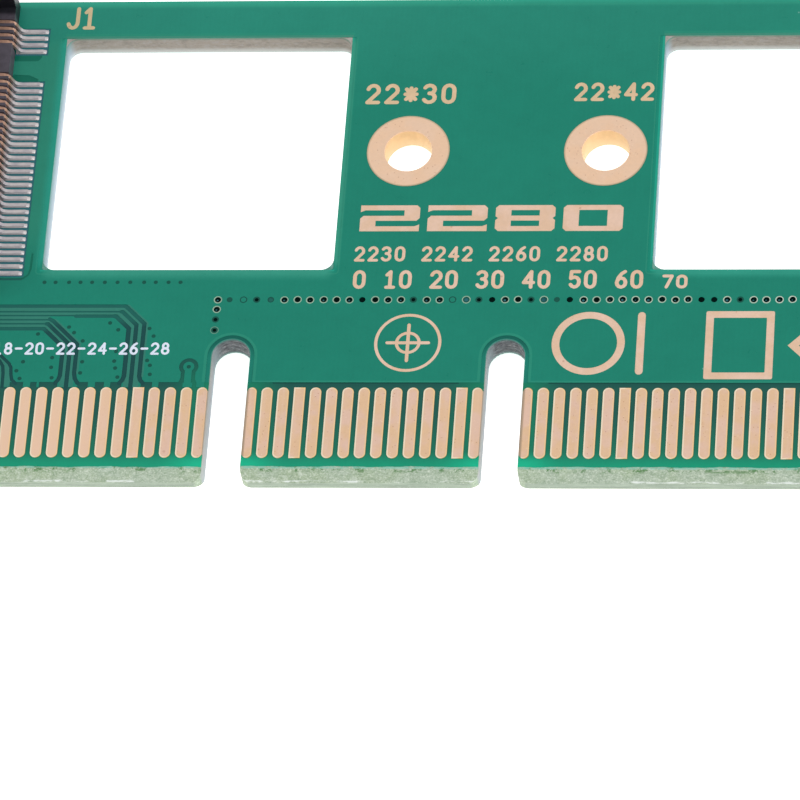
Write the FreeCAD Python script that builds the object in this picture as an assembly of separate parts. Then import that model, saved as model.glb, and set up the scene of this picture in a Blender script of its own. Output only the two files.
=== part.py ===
import FreeCAD, Part
import math
import os

# M.2 drive to PCI Express x16 adapter card, lying on its solder side.
# Working frame of all numbers below, millimetres:
#   X  edge-contact number along the card, contact 12 at X = 12 (1.0 mm pitch)
#   Y  0 on the centre line of the M.2 drive, edge contacts towards -Y
#   Z  0 on the component face of the board, up away from the board
# Every solid is shifted once, at the end, so that the part's origin is the
# centre of its lowest plane.

V = FreeCAD.Vector

# ---------------------------------------------------------------- board
BOARD_T = 1.6
BOARD_X0, BOARD_X1 = -46.65, 98.0
BOARD_TOP_Y = 11.32
SHOULDER_Y = -15.5          # lower edge of the card outside the contact tongue
TONGUE_Y = -23.66           # lowest edge of the contact tongue
TONGUE_X0, TONGUE_X1 = -1.65, 83.0
CORNER_R = 1.0
TAB_R = 0.7                 # lower corners of the tongue's blocks
BEVEL_Y = 0.85              # height of the lead-in bevel
BEVEL_Z = 0.5               # depth of the bevel from each face

KEY_X, KEY_W, KEY_TOP = 10.5, 1.9, -14.95        # connector key slot
SLOT4_X, SLOT8_X = 32.53, 49.52                  # short-connector slots
SLOT_W, SLOT_TOP = 2.38, -13.76

WINDOW_Y0, WINDOW_Y1 = -8.73, 8.50
WINDOW_R = 0.8
WINDOWS = [(20.15, 38.41), (58.21, 68.8), (76.6, 88.8)]

HOLE_Y = -0.05
HOLES = {"30": 42.52, "42": 54.89, "60": 72.9, "80": 92.9}
HOLE_R = 1.5                # finished hole
HOLE_WALL = 0.2             # sleeve of plated copper and gold, thicker than the real 0.03 to 0.05
RING_R = 2.6
RING_T = 0.05

# retention hook behind the tongue
HOOK_X0, HOOK_X1, HOOK_FOOT_X = 85.4, 88.6, 92.6
HOOK_Y0, HOOK_FOOT_TOP = -21.9, -18.6

# ---------------------------------------------------------------- contacts
PAD_W, PAD_T = 0.70, 0.05
PAD_Y0, PAD_Y1 = -22.22, -17.23
PAD_SIDE_GAP = 0.06          # bare laminate left between a contact and a slot wall
PAD_MISSING = (32, 33, 49, 50)
PAD_SQUARE_LAST_DIGIT = 7

# ---------------------------------------------------------------- socket
SK_X0, SK_X1 = 8.4, 16.9
SK_ROOF_X = 15.3
SK_HALF = 10.95
SK_H = 4.2
SK_SLOT_Y = 10.05           # half width of the drive's slot
SK_SLOT_X = 12.6            # end stop of the drive
SK_SLOT_Z0, SK_SLOT_Z1 = 2.2, 3.42
SK_JAW_Z = 1.32             # top of the lower jaw in front
SK_KEY_Y, SK_KEY_W = 6.125, 1.0
PIN_PITCH = 0.5
PIN_W, PIN_T = 0.22, 0.15
PIN_SLOT_W = 0.30
FRONT_PINS = [-9.0 + 0.5 * i for i in range(29)] + [7.5, 8.0, 8.5, 9.0]
REAR_PINS = [-9.25 + 0.5 * i for i in range(29)] + [7.25, 7.75, 8.25, 8.75, 9.25]
PEG_X, PEG_Y, PEG_R, PEG_L = 12.2, 9.9, 0.55, 1.1

# ---------------------------------------------------------------- bracket
BR_T = 0.8
BR_X1 = -47.05              # face towards the board
BR_Z0, BR_Z1 = -3.34, 15.08
BR_Y0, BR_Y1 = -31.25, 47.95
BR_TONGUE_Z0, BR_TONGUE_Z1 = 0.8, 11.0
BR_TOP_TAB = 10.6
BR_NOTCH_W, BR_NOTCH_L = 4.4, 6.2
BR_TAB_W, BR_TAB_L = 6.6, 8.4
BR_HOLE_X, BR_HOLE_YS = -42.1, (7.0, -10.9)
BR_HOLE_R = 1.7             # clearance holes in the board
BR_VENTS_Y = (-14.0, 34.0)

SCREW_R = 1.5
NUT_AF, NUT_H = 5.5, 1.6
STAND_AF, STAND_H = 5.0, 2.5
STUD_R = 1.45
M2_R = 1.0

parts = {}


def box(x0, x1, y0, y1, z0, z1):
    return Part.makeBox(x1 - x0, y1 - y0, z1 - z0, V(x0, y0, z0))


def cyl(r, x, y, z0, z1):
    return Part.makeCylinder(r, z1 - z0, V(x, y, z0))


def rounded(points):
    """Closed wire in the XY plane; each point is (x, y, corner radius)."""
    n = len(points)
    segs = []
    for i in range(n):
        p = V(points[i][0], points[i][1], 0)
        a = V(points[i - 1][0], points[i - 1][1], 0)
        b = V(points[(i + 1) % n][0], points[(i + 1) % n][1], 0)
        r = points[i][2]
        u = (a - p)
        w = (b - p)
        u.normalize()
        w.normalize()
        if r < 1e-6:
            segs.append((p, None, p))
            continue
        half = 0.5 * math.acos(max(-1.0, min(1.0, u.dot(w))))
        d = r / math.tan(half)
        c = (u + w)
        c.normalize()
        centre = p + c * (r / math.sin(half))
        mid = centre - c * r
        segs.append((p + u * d, mid, p + w * d))
    edges = []
    for i in range(n):
        s, m, e = segs[i]
        if m is not None:
            edges.append(Part.Arc(s, m, e).toShape())
        nxt = segs[(i + 1) % n][0]
        if (nxt - e).Length > 1e-6:
            edges.append(Part.LineSegment(e, nxt).toShape())
    return Part.Wire(edges)


def plate(wire, z0, z1):
    face = Part.Face(wire)
    face.translate(V(0, 0, z0))
    solid = face.extrude(V(0, 0, z1 - z0))
    return solid


def slot_points(cx, width, top):
    """Full-round slot of the tongue, walked from right to left at its top."""
    h = width / 2.0
    return [(cx + h, top, h - 0.001), (cx - h, top, h - 0.001)]


def prism_xz(points, y0, y1):
    pts = [V(x, y0, z) for x, z in points]
    wire = Part.makePolygon(pts + [pts[0]])
    return Part.Face(wire).extrude(V(0, y1 - y0, 0))


# ================================================================ board
def make_board():
    e = 1e-3
    pts = [
        (BOARD_X0, BOARD_TOP_Y, CORNER_R),
        (BOARD_X0, SHOULDER_Y, CORNER_R),
        (TONGUE_X0, SHOULDER_Y, 0.6),
        (TONGUE_X0, TONGUE_Y, TAB_R),
        (KEY_X - KEY_W / 2, TONGUE_Y, TAB_R),
        (KEY_X - KEY_W / 2, KEY_TOP, KEY_W / 2 - e),
        (KEY_X + KEY_W / 2, KEY_TOP, KEY_W / 2 - e),
        (KEY_X + KEY_W / 2, TONGUE_Y, TAB_R),
    ]
    for cx in (SLOT4_X, SLOT8_X):
        pts += [
            (cx - SLOT_W / 2, TONGUE_Y, TAB_R),
            (cx - SLOT_W / 2, SLOT_TOP, SLOT_W / 2 - e),
            (cx + SLOT_W / 2, SLOT_TOP, SLOT_W / 2 - e),
            (cx + SLOT_W / 2, TONGUE_Y, TAB_R),
        ]
    pts += [
        (TONGUE_X1, TONGUE_Y, TAB_R),
        (TONGUE_X1, SHOULDER_Y, 1.0),
        (HOOK_X0, SHOULDER_Y, 1.0),
        (HOOK_X0, HOOK_Y0, 0.8),
        (HOOK_FOOT_X, HOOK_Y0, 0.8),
        (HOOK_FOOT_X, HOOK_FOOT_TOP, 0.8),
        (HOOK_X1, HOOK_FOOT_TOP, 0.6),
        (HOOK_X1, SHOULDER_Y, 0.6),
        (BOARD_X1, SHOULDER_Y, CORNER_R),
        (BOARD_X1, BOARD_TOP_Y, CORNER_R),
    ]
    board = plate(rounded(pts), -BOARD_T, 0.0)

    cuts = []
    for x0, x1 in WINDOWS:
        cuts.append(plate(rounded([
            (x0, WINDOW_Y0, WINDOW_R), (x1, WINDOW_Y0, WINDOW_R),
            (x1, WINDOW_Y1, WINDOW_R), (x0, WINDOW_Y1, WINDOW_R)]),
            -BOARD_T - 1, 1))
    for hx in HOLES.values():
        cuts.append(cyl(HOLE_R + HOLE_WALL, hx, HOLE_Y, -BOARD_T - 1, 1))
    for hy in BR_HOLE_YS:
        cuts.append(cyl(BR_HOLE_R, BR_HOLE_X, hy, -BOARD_T - 1, 1))
    for sy in (-1, 1):
        cuts.append(cyl(PEG_R + 0.05, PEG_X, sy * PEG_Y, -BOARD_T - 1, 1))
    # lead-in bevels along the tongue, front and back face
    yb = TONGUE_Y + BEVEL_Y
    for z, s in ((0.0, 1), (-BOARD_T, -1)):
        tri = [V(TONGUE_X0 - 1, yb, z), V(TONGUE_X0 - 1, TONGUE_Y, z - s * BEVEL_Z),
               V(TONGUE_X0 - 1, TONGUE_Y - 1, z - s * BEVEL_Z),
               V(TONGUE_X0 - 1, TONGUE_Y - 1, z + s * 1), V(TONGUE_X0 - 1, yb, z + s * 1)]
        cuts.append(Part.Face(Part.makePolygon(tri + [tri[0]])).extrude(
            V(TONGUE_X1 - TONGUE_X0 + 2, 0, 0)))
    return board.cut(cuts)


parts["circuit_board"] = make_board()


# ================================================================ contacts
def make_pads(z0, z1):
    pads = []
    numbers = list(range(1, 12)) + list(range(12, 83))
    for n in numbers:
        if n in PAD_MISSING:
            continue
        x = n - 2.0 if n <= 11 else float(n)
        r = PAD_W / 2
        x0, x1 = x - r, x + r
        # contacts beside a slot keep a little laminate at the slot's wall
        for cx, w in ((KEY_X, KEY_W), (SLOT4_X, SLOT_W), (SLOT8_X, SLOT_W)):
            if x < cx and x1 > cx - w / 2 - PAD_SIDE_GAP:
                x1 = cx - w / 2 - PAD_SIDE_GAP
            if x > cx and x0 < cx + w / 2 + PAD_SIDE_GAP:
                x0 = cx + w / 2 + PAD_SIDE_GAP
        if n % 10 == PAD_SQUARE_LAST_DIGIT:
            pads.append(box(x0, x1, PAD_Y0, PAD_Y1, z0, z1))
        else:
            q = min(r, (x1 - x0) / 2) - 0.002
            pads.append(plate(rounded([
                (x0, PAD_Y0, q), (x1, PAD_Y0, q), (x1, PAD_Y1, q), (x0, PAD_Y1, q)]),
                z0, z1))
    return Part.makeCompound(pads)


parts["edge_contacts_front"] = make_pads(0.0, PAD_T)
parts["edge_contacts_back"] = make_pads(-BOARD_T - PAD_T, -BOARD_T)

for key, hx in HOLES.items():
    ring = cyl(RING_R, hx, HOLE_Y, 0, RING_T)
    ring = ring.fuse([cyl(RING_R, hx, HOLE_Y, -BOARD_T - RING_T, -BOARD_T),
                      cyl(HOLE_R + HOLE_WALL, hx, HOLE_Y, -BOARD_T - RING_T, RING_T)])
    ring = ring.cut(cyl(HOLE_R, hx, HOLE_Y, -BOARD_T - 1, 1)).removeSplitter()
    parts["plated_hole_" + key] = ring


# ================================================================ socket
def make_housing():
    # side profile: lower jaw, drive slot, roof with a lead-in, sloping back
    body = box(SK_X0, SK_X1, -SK_HALF, SK_HALF, 0.0, SK_H)
    cuts = []
    # open space in front of the roof and above the lower jaw, between the cheeks
    inner = SK_SLOT_Y
    cuts.append(prism_xz([(SK_ROOF_X, SK_SLOT_Z1 + 0.25), (SK_ROOF_X - 0.9, SK_SLOT_Z1),
                          (SK_SLOT_X, SK_SLOT_Z1), (SK_SLOT_X, SK_SLOT_Z0),
                          (14.6, SK_SLOT_Z0), (15.1, SK_JAW_Z), (SK_X1 + 1, SK_JAW_Z),
                          (SK_X1 + 1, SK_H + 1), (SK_ROOF_X, SK_H + 1)],
                         -inner, inner))
    # cheeks are cut down and chamfered in front
    for s in (-1, 1):
        y0, y1 = sorted((s * (inner - 0.5), s * (SK_HALF + 1)))
        cuts.append(prism_xz([(SK_X1 - 0.9, SK_H + 0.01), (SK_X1 + 0.01, SK_H - 1.0),
                              (SK_X1 + 1, SK_H - 1.0), (SK_X1 + 1, SK_H + 1),
                              (SK_X1 - 0.9, SK_H + 1)], y0, y1))
        # recess for the hold-down tab
        yy = sorted((s * (SK_HALF - 0.32), s * (SK_HALF + 0.5)))
        cuts.append(box(10.2, 13.4, yy[0], yy[1], -0.01, 2.4))
    # back: sloping top edge
    cuts.append(prism_xz([(SK_X0 - 1, SK_H + 1), (SK_X0 - 1, 3.0), (SK_X0, 3.0),
                          (SK_X0 + 1.0, SK_H + 0.01), (SK_X0 + 1.0, SK_H + 1)],
                         -SK_HALF - 1, SK_HALF + 1))
    # shallow pocket on the roof, where the pick-up cap sits in production
    cuts.append(box(10.4, 13.6, -4.0, 4.0, SK_H - 0.12, SK_H + 1))
    # contact slots, front row: through the lower jaw, open in front and on top
    for y in FRONT_PINS:
        cuts.append(box(SK_SLOT_X + 0.2, SK_X1 + 1, y - PIN_SLOT_W / 2, y + PIN_SLOT_W / 2,
                        0.45, SK_SLOT_Z0 + 0.01))
        cuts.append(box(SK_X1 - 1.0, SK_X1 + 1, y - PIN_SLOT_W / 2, y + PIN_SLOT_W / 2,
                        -0.01, 1.0))
    # contact slots, rear row: in the roof, open to the drive slot and the back
    for y in REAR_PINS:
        cuts.append(box(SK_X0 - 1, SK_ROOF_X - 1.2, y - PIN_SLOT_W / 2, y + PIN_SLOT_W / 2,
                        SK_SLOT_Z1 - 0.01, SK_SLOT_Z1 + 0.42))
        cuts.append(box(SK_X0 - 1, SK_X0 + 0.62, y - PIN_SLOT_W / 2, y + PIN_SLOT_W / 2,
                        -0.01, SK_SLOT_Z1 + 0.1))
    body = body.cut(cuts)
    # key rib across the drive slot and locating pegs into the board
    rib = box(SK_SLOT_X - 0.3, SK_ROOF_X - 0.3, SK_KEY_Y - SK_KEY_W / 2,
              SK_KEY_Y + SK_KEY_W / 2, SK_SLOT_Z0 - 0.3, SK_SLOT_Z1 + 0.3)
    pegs = [cyl(PEG_R, PEG_X, s * PEG_Y, -PEG_L, 0.3) for s in (-1, 1)]
    return body.fuse([rib] + pegs).removeSplitter()


parts["socket_housing"] = make_housing()


def ribbon_xz(path, t):
    """Closed XZ outline of a strip of thickness t along a centre line."""
    left, right = [], []
    n = len(path)
    for i, (x, z) in enumerate(path):
        x0, z0 = path[max(i - 1, 0)]
        x1, z1 = path[min(i + 1, n - 1)]
        dx, dz = x1 - x0, z1 - z0
        q = math.hypot(dx, dz)
        nx, nz = -dz / q * t / 2, dx / q * t / 2
        left.append((x + nx, z + nz))
        right.append((x - nx, z - nz))
    return left + right[::-1]


h = PIN_T / 2
FRONT_PATH = [(18.72, h), (17.62, h), (17.42, h + 0.03), (17.26, 0.17), (17.12, 0.34),
              (17.00, 0.66), (16.90, 0.94), (16.78, 1.10), (16.58, 1.18), (16.30, 1.20),
              (15.6, 1.22), (15.0, 1.34), (14.4, 1.86), (13.95, 2.34), (13.72, 2.42),
              (13.5, 2.34), (13.25, 2.02)]
REAR_PATH = [(6.95, h), (7.82, h), (7.98, h + 0.03), (8.10, 0.2), (8.24, 0.5), (8.36, 1.2),
             (8.44, 2.6), (8.52, 3.2), (8.66, 3.48), (8.95, 3.60), (9.6, 3.62), (12.4, 3.60),
             (13.1, 3.40), (13.5, 3.24), (13.75, 3.20), (13.95, 3.28), (14.05, 3.45)]


def make_pins(path, ys):
    outline = ribbon_xz(path, PIN_T)
    # feet lie flat on the pads
    outline = [(x, max(z, 0.0)) for x, z in outline]
    pins = [prism_xz(outline, y - PIN_W / 2, y + PIN_W / 2) for y in ys]
    return Part.makeCompound(pins)


parts["socket_contacts_front"] = make_pins(FRONT_PATH, FRONT_PINS)
parts["socket_contacts_rear"] = make_pins(REAR_PATH, REAR_PINS)

tabs = []
for s in (-1, 1):
    ya, yb = sorted((s * (SK_HALF - 0.30), s * (SK_HALF - 0.02)))
    t = box(10.6, 13.0, ya, yb, 0.0, 2.2)
    foot = box(10.9, 12.7, min(s * (SK_HALF - 0.30), s * (SK_HALF + 0.28)),
               max(s * (SK_HALF - 0.30), s * (SK_HALF + 0.28)), 0.0, 0.2)
    tabs.append(t.fuse(foot).removeSplitter())
parts["socket_hold_downs"] = Part.makeCompound(tabs)


# ================================================================ fasteners
def hexagon(af, x, y, z0, z1, turn=0.0):
    r = af / math.sqrt(3.0)
    pts = [V(x + r * math.cos(math.radians(60 * i + turn)),
             y + r * math.sin(math.radians(60 * i + turn)), z0) for i in range(6)]
    return Part.Face(Part.makePolygon(pts + [pts[0]])).extrude(V(0, 0, z1 - z0))


def cross_recess(x, y, z, size, depth, width):
    a = box(x - size / 2, x + size / 2, y - width / 2, y + width / 2, z - depth, z + 1)
    b = box(x - width / 2, x + width / 2, y - size / 2, y + size / 2, z - depth, z + 1)
    return a.fuse(b)


def pan_head(r, hgt, x, y, z):
    """Domed head with a flat underside at z."""
    prof = [V(x, y, z), V(x + r, y, z), V(x + r, y, z + hgt * 0.45)]
    top = V(x, y, z + hgt)
    mid = V(x + r * 0.72, y, z + hgt * 0.90)
    e = [Part.LineSegment(prof[0], prof[1]).toShape(),
         Part.LineSegment(prof[1], prof[2]).toShape(),
         Part.Arc(prof[2], mid, top).toShape(),
         Part.LineSegment(top, prof[0]).toShape()]
    return Part.Face(Part.Wire(e)).revolve(V(x, y, z), V(0, 0, 1), 360)


hx = HOLES["80"]
z_under = -BOARD_T - RING_T
z_over = RING_T

body = hexagon(STAND_AF, hx, HOLE_Y, z_over, STAND_H, 30)
cone = Part.makeCone(STAND_AF / math.sqrt(3) + 0.9, STAND_AF / 2 - 0.05, 1.0,
                     V(hx, HOLE_Y, STAND_H - 1.0 + 0.22))
body = body.common(cyl(STAND_AF / math.sqrt(3) + 0.05, hx, HOLE_Y, z_over, STAND_H))
body = body.common(cone.fuse(cyl(4, hx, HOLE_Y, z_over, STAND_H - 0.6)))
stud = cyl(STUD_R, hx, HOLE_Y, z_under - NUT_H + 0.1, z_over + 0.2)
body = body.fuse(stud).cut(cyl(M2_R, hx, HOLE_Y, z_under - NUT_H - 1, STAND_H + 1))
parts["ssd_standoff"] = body.removeSplitter()

nut = hexagon(NUT_AF, hx, HOLE_Y, z_under - NUT_H, z_under, 12)
ch = Part.makeCone(NUT_AF / 2 - 0.05, NUT_AF / 2 - 0.05 + 1.0, 1.0,
                   V(hx, HOLE_Y, z_under - NUT_H))
nut = nut.common(ch.fuse(cyl(NUT_AF, hx, HOLE_Y, z_under - NUT_H + 0.6, z_under)))
nut = nut.cut(cyl(STUD_R, hx, HOLE_Y, z_under - NUT_H - 1, 1))
parts["standoff_nut"] = nut.removeSplitter()

screw = pan_head(2.0, 0.9, hx, HOLE_Y, STAND_H)
screw = screw.fuse(cyl(M2_R, hx, HOLE_Y, STAND_H - 2.6, STAND_H + 0.1))
screw = screw.cut(cross_recess(hx, HOLE_Y, STAND_H + 0.9, 1.7, 0.6, 0.38))
parts["ssd_screw"] = screw.removeSplitter()


# ================================================================ bracket
def make_bracket():
    xo = BR_X1 - BR_T
    # flat and top tab as one folded strip, bent away from the card at the top
    body = plate(rounded([
        (BR_X1, BR_Y0, 0.0), (BR_X1, BR_Y1, 1.1), (xo - BR_TOP_TAB, BR_Y1, 0.0),
        (xo - BR_TOP_TAB, BR_Y1 - BR_T, 0.0), (xo, BR_Y1 - BR_T, 0.3), (xo, BR_Y0, 0.0)]),
        BR_Z0, BR_Z1)
    # narrow lower tongue: what lies outside this outline is cut away
    keep = Part.Face(rounded([
        (BR_Y1 + 1, BR_Z0, 0.0), (BR_Y1 + 1, BR_Z1, 0.0),
        (-21.5, BR_Z1, 1.2), (-24.8, BR_TONGUE_Z1, 0.8),
        (BR_Y0, BR_TONGUE_Z1, 2.2), (BR_Y0, BR_TONGUE_Z0, 2.2),
        (-24.8, BR_TONGUE_Z0, 0.8), (-21.5, BR_Z0, 1.2)])).extrude(V(0, 0, 20))
    keep.Placement = FreeCAD.Placement(V(xo - 15, 0, 0), FreeCAD.Rotation(
        V(0, 1, 0), V(0, 0, 1), V(1, 0, 0), "XYZ"))
    body = body.common(keep)
    # chassis screw's notch and clipped corner of the top tab
    cz = BR_Z0 + 5.2
    xe = xo - BR_TOP_TAB
    xn = xe + BR_NOTCH_L - BR_NOTCH_W / 2
    cuts = [box(xe - 1, xn, BR_Y1 - BR_T - 1, BR_Y1 + 1,
                cz - BR_NOTCH_W / 2, cz + BR_NOTCH_W / 2),
            Part.makeCylinder(BR_NOTCH_W / 2, BR_T + 2, V(xn, BR_Y1 - BR_T - 1, cz),
                              V(0, 1, 0)),
            prism_xz([(xe - 1, BR_Z1 + 1), (xe - 1, BR_Z1 - 3.4), (xe, BR_Z1 - 3.4),
                      (xe + 3.4, BR_Z1), (xe + 3.4, BR_Z1 + 1)],
                     BR_Y1 - BR_T - 1, BR_Y1 + 1)]
    # card tabs, folded under the board, with a relief cut at each side
    zt1 = -BOARD_T
    zt0 = zt1 - BR_T
    adds = []
    for hy in BR_HOLE_YS:
        y0, y1 = hy - BR_TAB_W / 2, hy + BR_TAB_W / 2
        cuts.append(box(xo - 1, BR_X1 + 1, y0 - 0.7, y1 + 0.7, BR_Z0 - 1, zt1 + 0.6))
        fold = Part.Face(rounded([
            (BR_X1, zt1 + 1.4, 0.0), (BR_X1, zt1, 0.2), (BR_X1 + BR_TAB_L, zt1, 0.0),
            (BR_X1 + BR_TAB_L, zt0, 0.0), (xo, zt0, 1.0), (xo, zt1 + 1.4, 0.0)]))
        fold = fold.extrude(V(0, 0, BR_TAB_W))
        # (x, z, w) -> world: local X to X, local Y to Z, local Z to -Y
        fold.Placement = FreeCAD.Placement(V(0, y1, 0), FreeCAD.Rotation(
            V(1, 0, 0), V(0, 0, 1), V(0, -1, 0), "XYZ"))
        corners = plate(rounded([(xo - 1, y0, 0.0), (BR_X1 + BR_TAB_L, y0, 1.6),
                                 (BR_X1 + BR_TAB_L, y1, 1.6), (xo - 1, y1, 0.0)]),
                        zt0 - 1, zt1 + 3)
        adds.append(fold.common(corners))
    body = body.cut(cuts).fuse(adds)
    # screw holes in the card tabs and a field of round vents
    holes = [cyl(SCREW_R, BR_HOLE_X, hy, zt0 - 1, zt1 + 1) for hy in BR_HOLE_YS]
    rows = [(3.1, 0), (6.3, 1), (9.5, 0), (12.7, 1)]
    for z, odd in rows:
        y = BR_VENTS_Y[0] + (1.85 if odd else 0.0)
        while y <= BR_VENTS_Y[1] + 0.01:
            holes.append(Part.makeCylinder(1.25, BR_T + 2, V(xo - 1, y, z), V(1, 0, 0)))
            y += 3.7
    return body.cut(holes).removeSplitter()


parts["bracket"] = make_bracket()

for name, hy in zip(("bracket_screw_upper", "bracket_screw_lower"), BR_HOLE_YS):
    s = pan_head(2.9, 1.9, BR_HOLE_X, hy, 0.0)
    s = s.fuse(cyl(SCREW_R, BR_HOLE_X, hy, -3.1, 0.1))
    s = s.cut(cross_recess(BR_HOLE_X, hy, 1.9, 2.9, 1.2, 0.62))
    parts[name] = s.removeSplitter()


# ================================================================ small parts
def chip(cx, cy, length, width, height, along_x=True):
    """Ceramic chip with thicker wrapped ends; ends are 0.02 proud."""
    end = 0.22 * length
    if along_x:
        core = box(cx - length / 2 + 0.05, cx + length / 2 - 0.05,
                   cy - width / 2 + 0.02, cy + width / 2 - 0.02, 0.0, height - 0.02)
        a = box(cx - length / 2, cx - length / 2 + end, cy - width / 2, cy + width / 2,
                0.0, height)
        b = box(cx + length / 2 - end, cx + length / 2, cy - width / 2, cy + width / 2,
                0.0, height)
    else:
        core = box(cx - width / 2 + 0.02, cx + width / 2 - 0.02,
                   cy - length / 2 + 0.05, cy + length / 2 - 0.05, 0.0, height - 0.02)
        a = box(cx - width / 2, cx + width / 2, cy - length / 2, cy - length / 2 + end,
                0.0, height)
        b = box(cx - width / 2, cx + width / 2, cy + length / 2 - end, cy + length / 2,
                0.0, height)
    return core.fuse([a, b]).removeSplitter()


BULK = [(2.6, 8.3), (2.6, 5.9), (2.6, 3.5)]
DECOUPLING = [(2.8, 0.6), (2.8, -1.2), (2.8, -3.0), (2.8, -4.8), (2.8, -6.6), (2.8, -8.4)]
RESISTORS = [(-9.0, 0.4), (-9.0, -1.4), (-9.0, -3.2), (-9.0, -5.0)]
LEDS = {"power_led": (-15.0, 8.8), "activity_led": (-19.5, 8.8)}

parts["bulk_capacitors"] = Part.makeCompound(
    [chip(x, y, 2.0, 1.25, 1.25) for x, y in BULK])
parts["decoupling_capacitors"] = Part.makeCompound(
    [chip(x, y, 1.6, 0.8, 0.8) for x, y in DECOUPLING])
parts["resistors"] = Part.makeCompound(
    [chip(x, y, 1.6, 0.8, 0.45) for x, y in RESISTORS])

# storage capacitor: moulded block with folded end terminals
cx, cy = -4.2, 6.2
blk = box(cx - 1.65, cx + 1.65, cy - 1.4, cy + 1.4, 0.12, 1.9)
edge = [e for e in blk.Edges if abs(e.Vertexes[0].Z - 1.9) < 1e-6
        and abs(e.Vertexes[1].Z - 1.9) < 1e-6]
blk = blk.makeChamfer(0.18, edge)
terms = []
for s in (-1, 1):
    xs = sorted((cx + s * 1.75, cx + s * 1.65))
    terms.append(box(xs[0], xs[1], cy - 1.1, cy + 1.1, 0.0, 1.0))
    xs = sorted((cx + s * 1.75, cx + s * 0.95))
    terms.append(box(xs[0], xs[1], cy - 1.1, cy + 1.1, 0.0, 0.12))
parts["storage_capacitor"] = blk.fuse(terms).removeSplitter()

for name, (lx, ly) in LEDS.items():
    base = box(lx - 0.8, lx + 0.8, ly - 0.4, ly + 0.4, 0.0, 0.24)
    lens = box(lx - 0.55, lx + 0.55, ly - 0.4, ly + 0.4, 0.24, 0.62)
    tops = [e for e in lens.Edges if abs(e.Vertexes[0].Z - 0.62) < 1e-6
            and abs(e.Vertexes[1].Z - 0.62) < 1e-6 and abs(e.Vertexes[0].X - e.Vertexes[1].X) < 1e-6]
    lens = lens.makeChamfer(0.12, tops)
    parts[name] = base.fuse(lens).removeSplitter()


# ================================================================ output
os.makedirs("parts", exist_ok=True)
total = Part.makeCompound(list(parts.values()))
bb = total.BoundBox
X_MIN = BR_X1 - BR_T - BR_TOP_TAB
shift = V(-(X_MIN + BOARD_X1) / 2, -(BR_Y0 + BR_Y1) / 2, -BR_Z0)
print("box", [round(v, 3) for v in (bb.XMin, bb.XMax, bb.YMin, bb.YMax, bb.ZMin, bb.ZMax)])
print("shift", [round(v, 4) for v in shift])
for name, shape in parts.items():
    s = shape.copy()
    s.translate(shift)
    solids = s.Solids
    ok = all(q.isValid() and q.Volume > 0 for q in solids)
    print("%-24s solids %3d volume %10.3f valid %s" % (name, len(solids), s.Volume, ok))
    s.exportStep("parts/%s.step" % name)
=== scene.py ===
import math
import random

import bpy
import bmesh
import numpy as np
from mathutils import Matrix, Vector
from mathutils.geometry import delaunay_2d_cdt


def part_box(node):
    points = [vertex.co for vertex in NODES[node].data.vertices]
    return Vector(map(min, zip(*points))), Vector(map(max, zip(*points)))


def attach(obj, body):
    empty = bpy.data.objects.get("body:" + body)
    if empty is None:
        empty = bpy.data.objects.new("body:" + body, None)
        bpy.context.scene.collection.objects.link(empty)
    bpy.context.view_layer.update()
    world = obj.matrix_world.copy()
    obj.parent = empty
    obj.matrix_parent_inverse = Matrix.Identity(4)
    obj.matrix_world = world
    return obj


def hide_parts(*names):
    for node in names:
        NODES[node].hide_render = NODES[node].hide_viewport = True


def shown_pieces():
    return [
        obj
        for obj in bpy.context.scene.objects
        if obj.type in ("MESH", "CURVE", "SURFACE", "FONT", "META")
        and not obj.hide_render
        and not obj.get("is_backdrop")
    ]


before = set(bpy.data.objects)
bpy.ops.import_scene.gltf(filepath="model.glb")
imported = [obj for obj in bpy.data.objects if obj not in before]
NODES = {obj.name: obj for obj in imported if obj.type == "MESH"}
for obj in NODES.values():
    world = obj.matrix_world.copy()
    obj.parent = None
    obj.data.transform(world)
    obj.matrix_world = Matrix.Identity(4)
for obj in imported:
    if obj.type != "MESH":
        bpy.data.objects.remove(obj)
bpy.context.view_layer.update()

random.seed(7)
scene = bpy.context.scene

# Board frame, millimetres: X is the edge-contact number along the card (contact
# 12 at X = 12), Y is 0 on the drive's centre line and points away from the edge
# contacts, Z is 0 on the component face.
_lo, _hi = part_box("circuit_board")
BX0, BY0, BT = -46.65, -23.66, 1.6
ORG = Vector((_lo.x * 1e3 - BX0, _lo.y * 1e3 - BY0, _lo.z * 1e3 + BT))


def W(x, y, z=0.0):
    """Board frame in mm to the row frame in metres."""
    return Vector(((x + ORG.x) * 1e-3, (y + ORG.y) * 1e-3, (z + ORG.z) * 1e-3))


# ------------------------------------------------------------------ camera
cam_data = bpy.data.cameras.new("camera")
cam = bpy.data.objects.new("camera", cam_data)
scene.collection.objects.link(cam)
cam_data.sensor_width = 36.0
cam_data.lens = 308.865
cam_data.clip_start, cam_data.clip_end = 0.01, 20.0
CAM_ROT = Matrix(((0.99153933, -0.00151369, 0.12979782),
                  (0.06756817, 0.85980430, -0.50613350),
                  (-0.11083459, 0.51062147, 0.85263205)))
_m = CAM_ROT.to_4x4()
_m.translation = W(97.58455, -230.05211, 357.08423)
cam.matrix_world = _m
scene.camera = cam


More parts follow.
